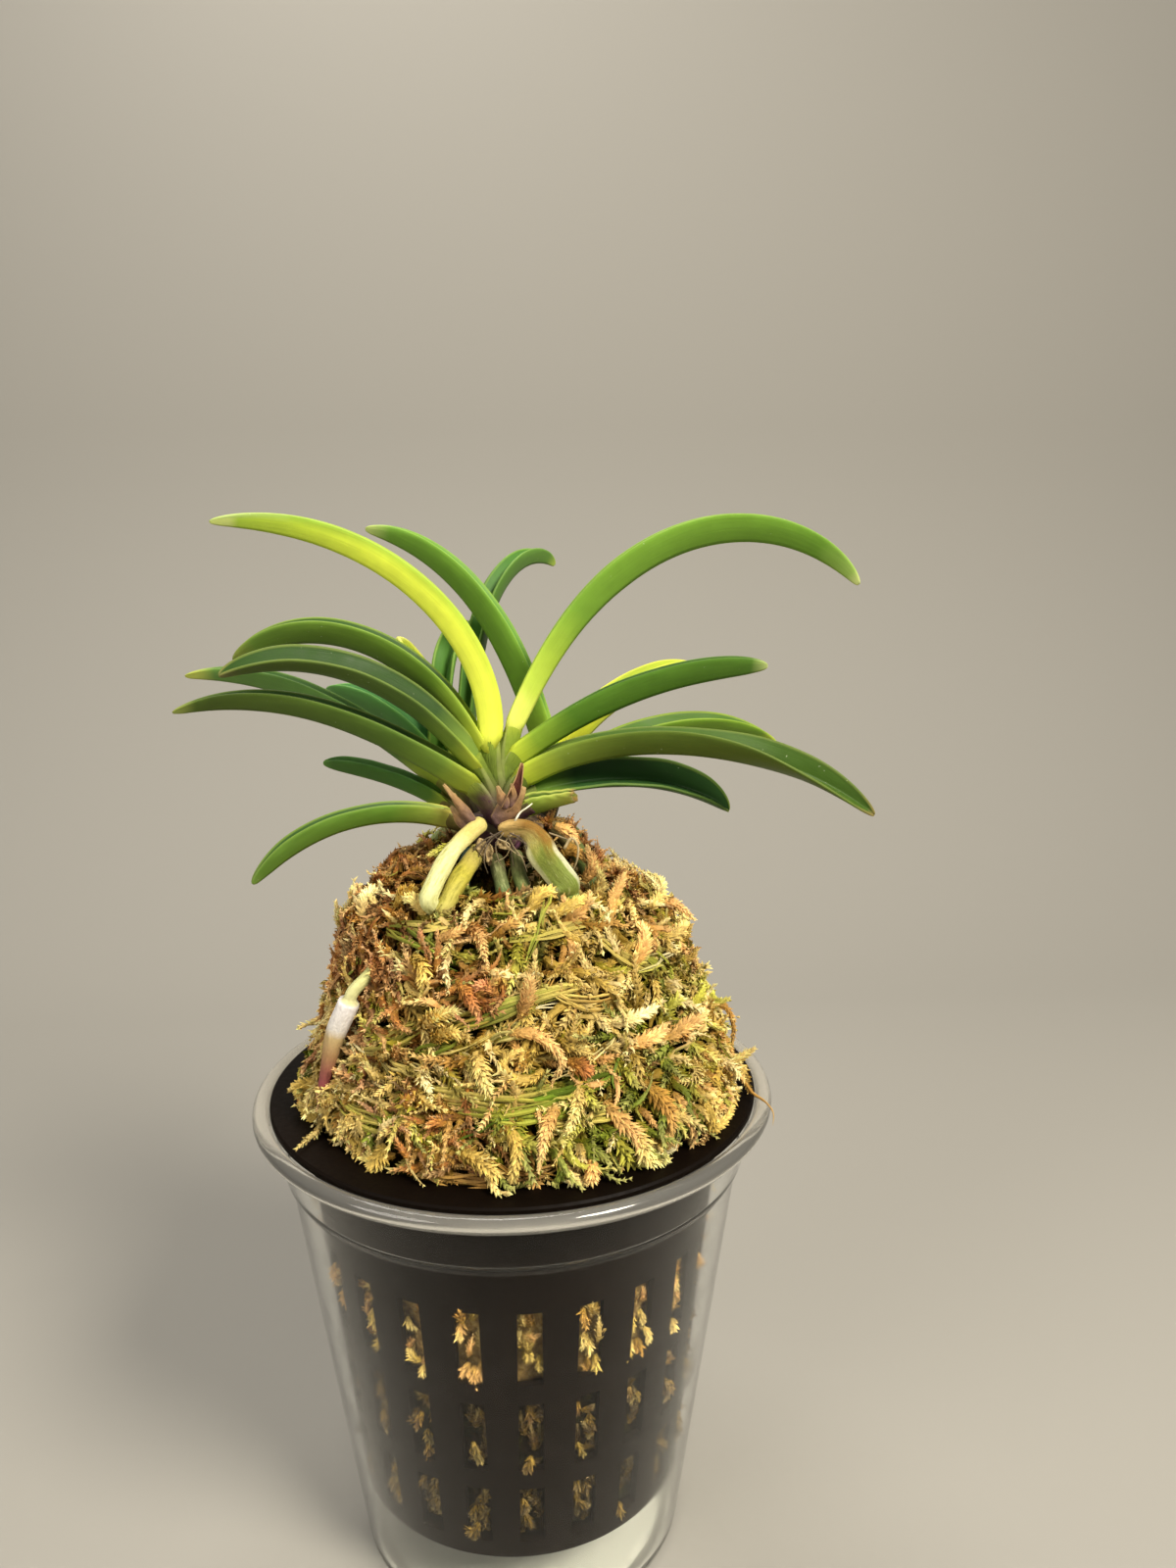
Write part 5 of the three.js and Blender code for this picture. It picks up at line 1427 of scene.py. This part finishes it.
def add_placed_moss(look, rng):
    """The shoots, strands and tufts that have a place of their own."""
    forms = []
    placed = [(at_depth(x, y, depth), *rest) for (x, y), depth, *rest in TUFTS]
    for centre, size, count, names in [*placed, *BACK_TUFTS]:
        shoots, colours = tuft(np.array(centre), size, count, names, rng)
        forms += leafy(shoots, rng.uniform(0.34, 0.56, count), colours, rng, sides=4, ranks=4, slim=0.6,
                       length=1.2, burst=0.3)
    for (x, y), spread, count, names in FLUFF:
        azimuth, distance = on_mound(x, y)
        azimuth = azimuth + rng.normal(0, spread / on_profile(distance)[0], count)
        distance = np.clip(distance + rng.normal(0, spread, count), 2, mound_length[-1])
        shoots = shoot_paths(azimuth, distance, rng.uniform(-math.pi, math.pi, count), rng.uniform(3, 6, count),
                             rng.normal(0, 1.3, count), rng.uniform(0.8, 1.9, count),
                             rng.uniform(0.2, 1.8, count), 9)
        colours = pick(names, count, rng)
        colours = colours * rng.uniform(0.8, 1.2, (count, 1))
        forms += leafy(shoots, rng.uniform(0.45, 0.75, count), colours, rng, sides=5, ranks=5, opening=0.4,
                       slim=0.6, length=1.25, burst=(0, 0.6))
    for pixels, strands, width, start, end in STRANDS:
        path, out, _ = seen_path(pixels, lift=1.5, steps=26)
        forms.append(bundle(path, out, strands, width, MOSS[start], MOSS[end], rng, radius=0.24, sides=4))
    lines = [HAIR]
    for pixels, depth, size, colour in WISPS:
        foot = []
        if depth is None:
            azimuth, distance = on_mound(*pixels[0])
            foot = [mound_point(np.float64(azimuth), distance, -0.6)[0]]
            depth = foot[0][1]
        lines.append((foot + [over_lip(x, y, depth) for x, y in pixels], size, colour))
    for points, size, colour in lines:
        line = smooth_path(points, 24)[None]
        # Its height over the mound is taken as 1.8, which sets its painted shade.
        shoot = line, np.broadcast_to(np.array([0.6, -0.6, 0.5]), line.shape), np.full(line.shape[:2], 1.8)
        own, radius = MOSS[colour][None], np.array([size])
        if size > BARE_UNDER:
            forms += leafy(shoot, radius, own, rng, sides=7, ranks=6, opening=0.38, slim=0.55, length=1.3,
                           burst=0.4)
        else:
            forms.append(shoot_bodies(*shoot, radius, own, rng, sides=7))
    (x, y), (wide, high), size, colour = RING
    ring = [(x + wide * math.cos(a), y + high * math.sin(a)) for a in np.linspace(0.3, 5.8, 9)]
    for pixels, size, colour, tip in [*SHOOTS, (ring, size, colour, 0.0)]:
        path, out, over = (part[None] for part in seen_path(pixels, lift=2.3, steps=24, tip_lift=tip))
        # over is raised by 0.8, so that the painted shade makes these shoots lighter.
        forms += leafy((path, out, over + 0.8), np.array([size]), MOSS[colour][None], rng, sides=7, ranks=7,
                       opening=(0.25, 0.55), slim=0.55, length=1.4, burst=(0, 0.7))
    moss_piece("moss_placed_shoots", forms, look)


def add_loose_strands(look, rng, count=100):
    """Thin bundles that run round the mound."""
    azimuth, distance = even_places(count, 3, RIM_AT + 2, rng)
    turn = math.radians(20) + rng.normal(0, 0.6, count) + math.pi * rng.integers(0, 2, count)
    length = rng.uniform(9, 20, count)
    path, out, _ = shoot_paths(azimuth, distance, turn, length, rng.normal(0, 0.8, count),
                               rng.uniform(0.4, 1.6, count), rng.uniform(-0.8, 0.8, count), 14)
    colours = shoot_colours(rng, azimuth, distance)
    forms = []
    for k in range(count):
        last = MOSS["olive"] if rng.random() < 0.5 else colours[k] * 0.8
        forms.append(bundle(path[k], out[k], 3, 1.9, colours[k] * 0.9, last, rng, radius=0.17, sides=3))
    moss_piece("moss_strands", forms, look)


# Leafy shoots spread over the mound: their number, the part of the profile that they lie on, their length, how
# high they lie and how much higher their tip, their radius, and the steps, leaflets and sides of each.
SPREAD_SHOOTS = {
    "moss_shoots_low": dict(count=540, low=4.0, high=21, length=(5, 11), lift=(-0.4, 1.2),
                            tip_lift=(-0.4, 3.6), radius=(0.55, 1.05), steps=13, ranks=5, sides=4),
    "moss_shoots_high": dict(count=560, low=18, high=RIM_AT + 4, length=(5, 11), lift=(-0.5, 1.0),
                             tip_lift=(-0.4, 2.8), radius=(0.55, 1.05), steps=13, ranks=5, sides=4),
    "moss_fine_shoots": dict(count=1300, low=3.2, high=RIM_AT + 6, length=(3, 7), lift=(-0.7, 0.8),
                             tip_lift=(-0.2, 2.6), radius=(0.35, 0.65), steps=9, ranks=4, sides=3),
}


def add_mound():
    """All the moss. One source of random numbers serves it, in this order."""
    rng = np.random.default_rng(12)
    look = moss_look()
    add_moss_core()
    for name, sizes in SPREAD_SHOOTS.items():
        scattered_shoots(name, look, rng, **sizes)
    add_bare_shoots(look, rng)
    add_loose_strands(look, rng)
    add_placed_moss(look, rng)
    add_slot_moss(look, rng)


# The moss in each row of slots, from the lowest up: colours, how bright it is painted, since painted shade
# darkens the lower rows inside the pot, and its height over the core for the painted shade by height.
SLOT_MOSS = [
    (("brown", "tan", "rust", "tan"), 0.06, 0.9),
    (("tan", "brown", "rust", "straw"), 0.16, 1.2),
    (("straw", "cream", "tan", "peach"), 0.86, 1.6),
]


def add_slot_moss(look, rng, count=9):
    """Short shoots behind each slot of the net pot, some of them poking out through it."""
    forms = []
    for i in range(POT.slots):
        azimuth = math.radians(POT.first_slot + 360 / POT.slots * i)
        radial = np.array([math.cos(azimuth), math.sin(azimuth), 0.0])
        around = np.array([-math.sin(azimuth), math.cos(azimuth), 0.0])
        for (low, high), (names, shade_dimming, out_of_shade) in zip(POT.slot_rows, SLOT_MOSS):
            z = rng.uniform(low + 0.6, high - 0.8, count)
            aside = rng.uniform(-1.7, 1.7, count)
            inward = np.where(rng.random(count) < 0.25, -0.1, rng.uniform(0.8, 1.8, count))
            foot = (pot_radius(z) - inward - 0.5)[:, None] * radial + aside[:, None] * around
            foot[:, 2] += z
            turn = rng.normal(math.pi / 2, 0.7, count) * rng.choice([-1, 1], count)
            way = np.cos(turn)[:, None] * around * 0.6 + np.sin(turn)[:, None] * np.array([0.0, 0.0, 1.0])
            length = rng.uniform(2.6, 5.0, count)
            share = np.linspace(0, 1, 8)[None, :, None]
            path = foot[:, None] + way[:, None] * share * length[:, None, None]
            path = path + radial * (0.35 * np.sin(math.pi * share))
            path[..., 2] = np.clip(path[..., 2], low + 0.3, high - 0.3)
            side = path @ around
            path = path + around * (np.clip(side, -1.6, 1.6) - side)[..., None]
            # Painted shade: the moss in the lower rows is darkened for the shade inside the pot.
            colours = pick(names, count, rng) * shade_dimming
            shoots = path, np.broadcast_to(radial, path.shape), np.full(path.shape[:2], out_of_shade)
            forms.append(leaflets(*shoots, rng.uniform(0.5, 0.8, count), colours, rng, ranks=4))
            forms.append(shoot_bodies(*shoots, rng.uniform(0.35, 0.6, count), colours, rng, sides=4))
    moss_piece("moss_in_slots", forms, look)


def add_moss_core(count=200, plug_rings=46, mound_rings=70):
    """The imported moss: a plug inside the net pot, the mound over it and the hollow in its top."""
    angle = turns(count, -math.pi)
    low, wall = POT.bottom_z + POT.floor + 0.4, POT.wall
    rings = [circle(angle, 0.5, low), circle(angle, 22, low),
             circle(angle, pot_radius(low) - wall - 2.4, low + 0.6)]
    for z in np.linspace(low + 2.5, POT.top_z - 1, plug_rings):
        dent = 0.5 * np.sin(23 * angle + 0.5 * z) * np.sin(0.9 * z - 11 * angle) - 0.3
        rings.append(circle(angle, pot_radius(z) - wall - 0.75 + dent, z))
    for d in np.linspace(0, mound_length[-1], mound_rings):
        lift = -1.5 + 0.6 * np.sin(17 * angle + 0.9 * d) * np.sin(1.1 * d - 9 * angle)
        lift = lift + 0.4 * np.sin(31 * angle - 1.3 * d)
        fade = min(1.0, d / 3)
        rings.append(mound_point(angle, np.full(count, d), lift * fade - 0.4 * (1 - fade))[0])
    look = Look("moss_core")
    rough = look.noise(700, 6, 0.7)
    # The core shows in the gaps between the shoots: its dark colours are partly its own and partly painted
    # shade in those gaps.
    dark = look.ramp(rough, (0.3, "241606"), (0.5, "4f370e"), (0.7, "8c6a2a"))
    green = look.ramp(rough, (0.3, "24220a"), (0.5, "4b4a16"), (0.7, "787528"))
    packed = look.ramp(rough, (0.3, "4a3618"), (0.5, "8c7040"), (0.7, "b89c5c"))
    ground = look.mix(look.span(look.noise(190, 3), 0.45, 0.6), dark, green)
    height = look.axis("Z")
    low, high = (z * MM for z in POT.slot_rows[-1])
    in_slots = look.times(look.span(height, low - 0.001, low), look.span(height, high + 0.002, high + 0.001))
    # Painted shade: the core is darker towards the bottom of the pot, from the top row of slots down.
    ground = look.shade(ground, look.span(height, low - 0.002, high, 0.2, 1.0))
    look.set(Base_Color=look.mix(in_slots, ground, packed), Roughness=0.95, Specular_IOR_Level=0.1)
    look.bump(rough, 1.0, 0.002)
    piece("moss_core", (np.vstack(rings), skin_faces(len(rings), count), {}), look.material, ["moss"])


# ------------------------------ net pot and cup


def pot_radius(z):
    """Radius of the net pot's outside at a level."""
    share = (z - POT.bottom_z) / (POT.top_z - POT.bottom_z)
    return POT.bottom_radius + (POT.top_radius - POT.bottom_radius) * share


SLOT_COLUMNS, RIB_COLUMNS = 4, 6  # columns of faces across a slot, and across the rib beside it
HUB = 0.5  # radius of the first and the last ring


def ring_angles(half_width, radius):
    """Angles round one ring, with columns that stay as wide as the slots."""
    pitch = 2 * math.pi / POT.slots
    half = half_width / radius
    slot = np.linspace(-half, half, SLOT_COLUMNS + 1)
    rib = np.linspace(half, pitch - half, RIB_COLUMNS + 1)[1:-1]
    first = math.radians(POT.first_slot)
    return np.concatenate([first + pitch * i + np.r_[slot, rib] for i in range(POT.slots)])


def net_pot_mesh():
    """The pot, from the middle of its underside up its outside, over the lip and down its inside."""
    wall, low_z, top_z, lip = POT.wall, POT.bottom_z, POT.top_z, POT.lip_radius
    lip_z, floor_z = top_z - POT.lip_thickness, low_z + POT.floor
    near, far = POT.drain_radii
    heights = [z for row in POT.slot_rows for z in row]
    under = [(HUB, low_z), (near, low_z), (far, low_z), (pot_radius(low_z) - 0.8, low_z),
             (pot_radius(low_z), low_z + 0.8)]
    outer = [(pot_radius(z), z) for z in heights]
    inner_top = pot_radius(top_z) - wall
    top = [(pot_radius(lip_z), lip_z), (lip - 0.3, lip_z), (lip, lip_z + 0.3), (lip, top_z - 0.35),
           (lip - 0.35, top_z), (inner_top + 0.6, top_z), (inner_top, top_z - 0.6)]
    inner = [(pot_radius(z) - wall, z) for z in reversed(heights)]
    floor = [(pot_radius(floor_z) - wall, floor_z), (far, floor_z), (near, floor_z), (HUB, floor_z)]
    rings = under + outer + top + inner + floor
    halves = {HUB: 0.02, near: POT.drain_width / 2, far: POT.drain_width / 2}
    points = [circle(ring_angles(halves.get(r, POT.slot_width / 2), r), r, z) for r, z in rings]
    count = len(points[0])
    outer_first, inner_last = len(under), len(under + outer + top + inner) - 1
    holes = [(outer_first + row, outer_first + row + 1, inner_last - row, inner_last - row - 1, s)
             for row in range(0, len(heights), 2) for s in range(POT.slots)]
    holes += [(1, 2, len(rings) - 2, len(rings) - 3, s) for s in range(0, POT.slots, 2)]
    open_cells, faces = set(), []
    for o1, o2, i1, i2, s in holes:
        first = s * count // POT.slots
        last = first + SLOT_COLUMNS
        o1, o2, i1, i2 = (ring * count for ring in (o1, o2, i1, i2))
        for c in range(first, last):
            open_cells.update([(min(o1, o2) // count, c), (min(i1, i2) // count, c)])
            faces += [(o1 + c, i1 + c, i1 + c + 1, o1 + c + 1), (o2 + c, o2 + c + 1, i2 + c + 1, i2 + c)]
        faces += [(o1 + first, o2 + first, i2 + first, i1 + first),
                  (o1 + last, i1 + last, i2 + last, o2 + last)]
    return np.concatenate(points), faces + skin_faces(len(rings), count, holes=open_cells), {}


def add_net_pot():
    look = Look("black_plastic")
    cloud = look.noise(40, 3)
    grain = look.noise(900, 3)
    look.set(Base_Color=look.mix(cloud, "080503", "100905"), Specular_IOR_Level=0.05,
             Roughness=look.span(look.plus(cloud, grain), 0.7, 1.3, 0.45, 0.62))
    look.bump(grain, 0.15, 0.0003)
    made = piece("slotted_pot", net_pot_mesh(), look.material, ["net_pot"], smooth=False)
    smooth_by_angle(made, 35)


def smooth_by_angle(made, degrees):
    """Smooth shading with sharp edges over the angle."""
    mesh = made.data
    mesh.shade_smooth()
    work = bmesh.new()
    work.from_mesh(mesh)
    for edge in work.edges:
        if len(edge.link_faces) == 2 and edge.calc_face_angle(0) > math.radians(degrees):
            edge.smooth = False
    work.to_mesh(mesh)
    work.free()


def arc(centre, radius, first, last, count):
    """Points of an arc between two angles in degrees."""
    angle = np.radians(np.linspace(first, last, count))
    return [(centre[0] + radius * math.cos(a), centre[1] + radius * math.sin(a)) for a in angle]


def cup_profile():
    """Radius and height from the middle of the underside up the outside, over the rim and down the inside."""
    wall, base, ledge, top = CUP.wall, CUP.base_radius, CUP.ledge_radius, CUP.top_radius
    ledge_z, roll_z = CUP.ledge_z, CUP_HEIGHT - CUP.roll_radius
    under, under_z = ledge - CUP.ledge_step, ledge_z - CUP.ledge_step
    return [
        (0.01, 0.5), (base - 4.5, 0.5), (base - 3.6, 0),
        *arc((base - CUP.corner, CUP.corner), CUP.corner, -90, -4, 7),
        (under - 0.15, under_z - 0.5), *arc((under, under_z), 0.35, -60, 0, 4),
        (ledge - 0.1, ledge_z - 0.25), (ledge + 0.05, ledge_z + 0.3),
        (top - 0.3, roll_z - 4), (top, roll_z - 2.2),
        *arc((CUP.rim_radius - CUP.roll_radius, roll_z), CUP.roll_radius, -115, 190, 26),
        (top - wall, roll_z - 2.4), (top - wall - 0.3, roll_z - 4),
        (ledge - wall + 0.05, ledge_z + 0.3), (under - wall - 0.1, under_z),
        (base - wall, CUP.corner + 0.8), (base - wall - 1.6, CUP.floor + 0.4),
        (base - 5, CUP.floor + 0.5), (0.01, CUP.floor + 0.5),
    ]


def with_support(profile, reach=0.5):
    """The profile with a point near both ends of each long stretch, so that its shading stays true."""
    points = [profile[0]]
    for start, end in zip(profile, profile[1:]):
        length = math.dist(start, end)
        if length > 3 * reach:
            for share in (reach / length, 0.5, 1 - reach / length):
                points.append(tuple(a + (b - a) * share for a, b in zip(start, end)))
        points.append(end)
    return points


def clear_look():
    """Clear plastic, slightly smeared, that casts hardly any shadow."""
    look = Look("clear_plastic")
    smear = look.noise(70, 4, 0.6)
    look.set(Base_Color=(0.97, 0.98, 0.97, 1), Roughness=look.span(smear, 0.45, 0.75, 0.04, 0.16), IOR=1.5,
             Transmission_Weight=1.0, Specular_Tint=(0.03, 0.024, 0.018, 1))
    lamp = look.node("ShaderNodeLightPath").outputs["Is Shadow Ray"]
    through = look.node("ShaderNodeBsdfTransparent", {"Color": (0.93, 0.94, 0.93, 1)}).outputs[0]
    mixed = look.node("ShaderNodeMixShader", {0: lamp, 1: look.shader.outputs[0], 2: through})
    look.join(look.tree.nodes["Material Output"].inputs["Surface"], mixed.outputs[0])
    return look.material


def lip_look():
    """The rolled lip: thick plastic that scatters a little of the light, with a pale warm colour that is partly
    painted reflection of the surroundings.
    """
    look = Look("clear_lip")
    return look.set(Base_Color=(0.9, 0.87, 0.79, 1), Roughness=0.12, IOR=1.45, Transmission_Weight=0.9).material


def add_cup(count=192):
    profile = with_support(cup_profile())
    points = np.vstack([circle(turns(count), r, z) for r, z in profile])
    form = points, skin_faces(len(profile), count, caps=False), {}
    made = piece("clear_cup", form, clear_look(), ["cup"])
    made.data.materials.append(lip_look())
    for face in made.data.polygons:
        if face.center.z > (CUP_HEIGHT - 2 * CUP.roll_radius) * MM:
            face.material_index = 1


# ------------------------------ floor


def add_floor():
    """A pale floor that curves up into a wall behind the plant."""
    curve = [(FLOOR_BEND * (1 + math.sin(a)), FLOOR_BEND * (1 - math.cos(a)))
             for a in np.linspace(0.1, math.pi / 2, 14)]
    profile = [(-FLOOR_REACH, 0), (FLOOR_BEND, 0), *curve, (2 * FLOOR_BEND, FLOOR_REACH)]
    points = [(x, y, z) for y, z in profile for x in (-FLOOR_REACH, FLOOR_REACH)]
    faces = [(2 * i, 2 * i + 1, 2 * i + 3, 2 * i + 2) for i in range(len(profile) - 1)]
    mesh = bpy.data.meshes.new("floor")
    mesh.from_pydata(points, [], faces)
    mesh.shade_smooth()
    mesh.materials.append(Look("floor").set(Base_Color="8e8b84", Roughness=0.8).material)
    floor = add_object("floor", mesh)


add_camera()
add_studio()
add_floor()
add_leaves()
add_stem()
add_roots()
add_bracts()
add_fibres()
add_mound()
add_net_pot()
add_cup()
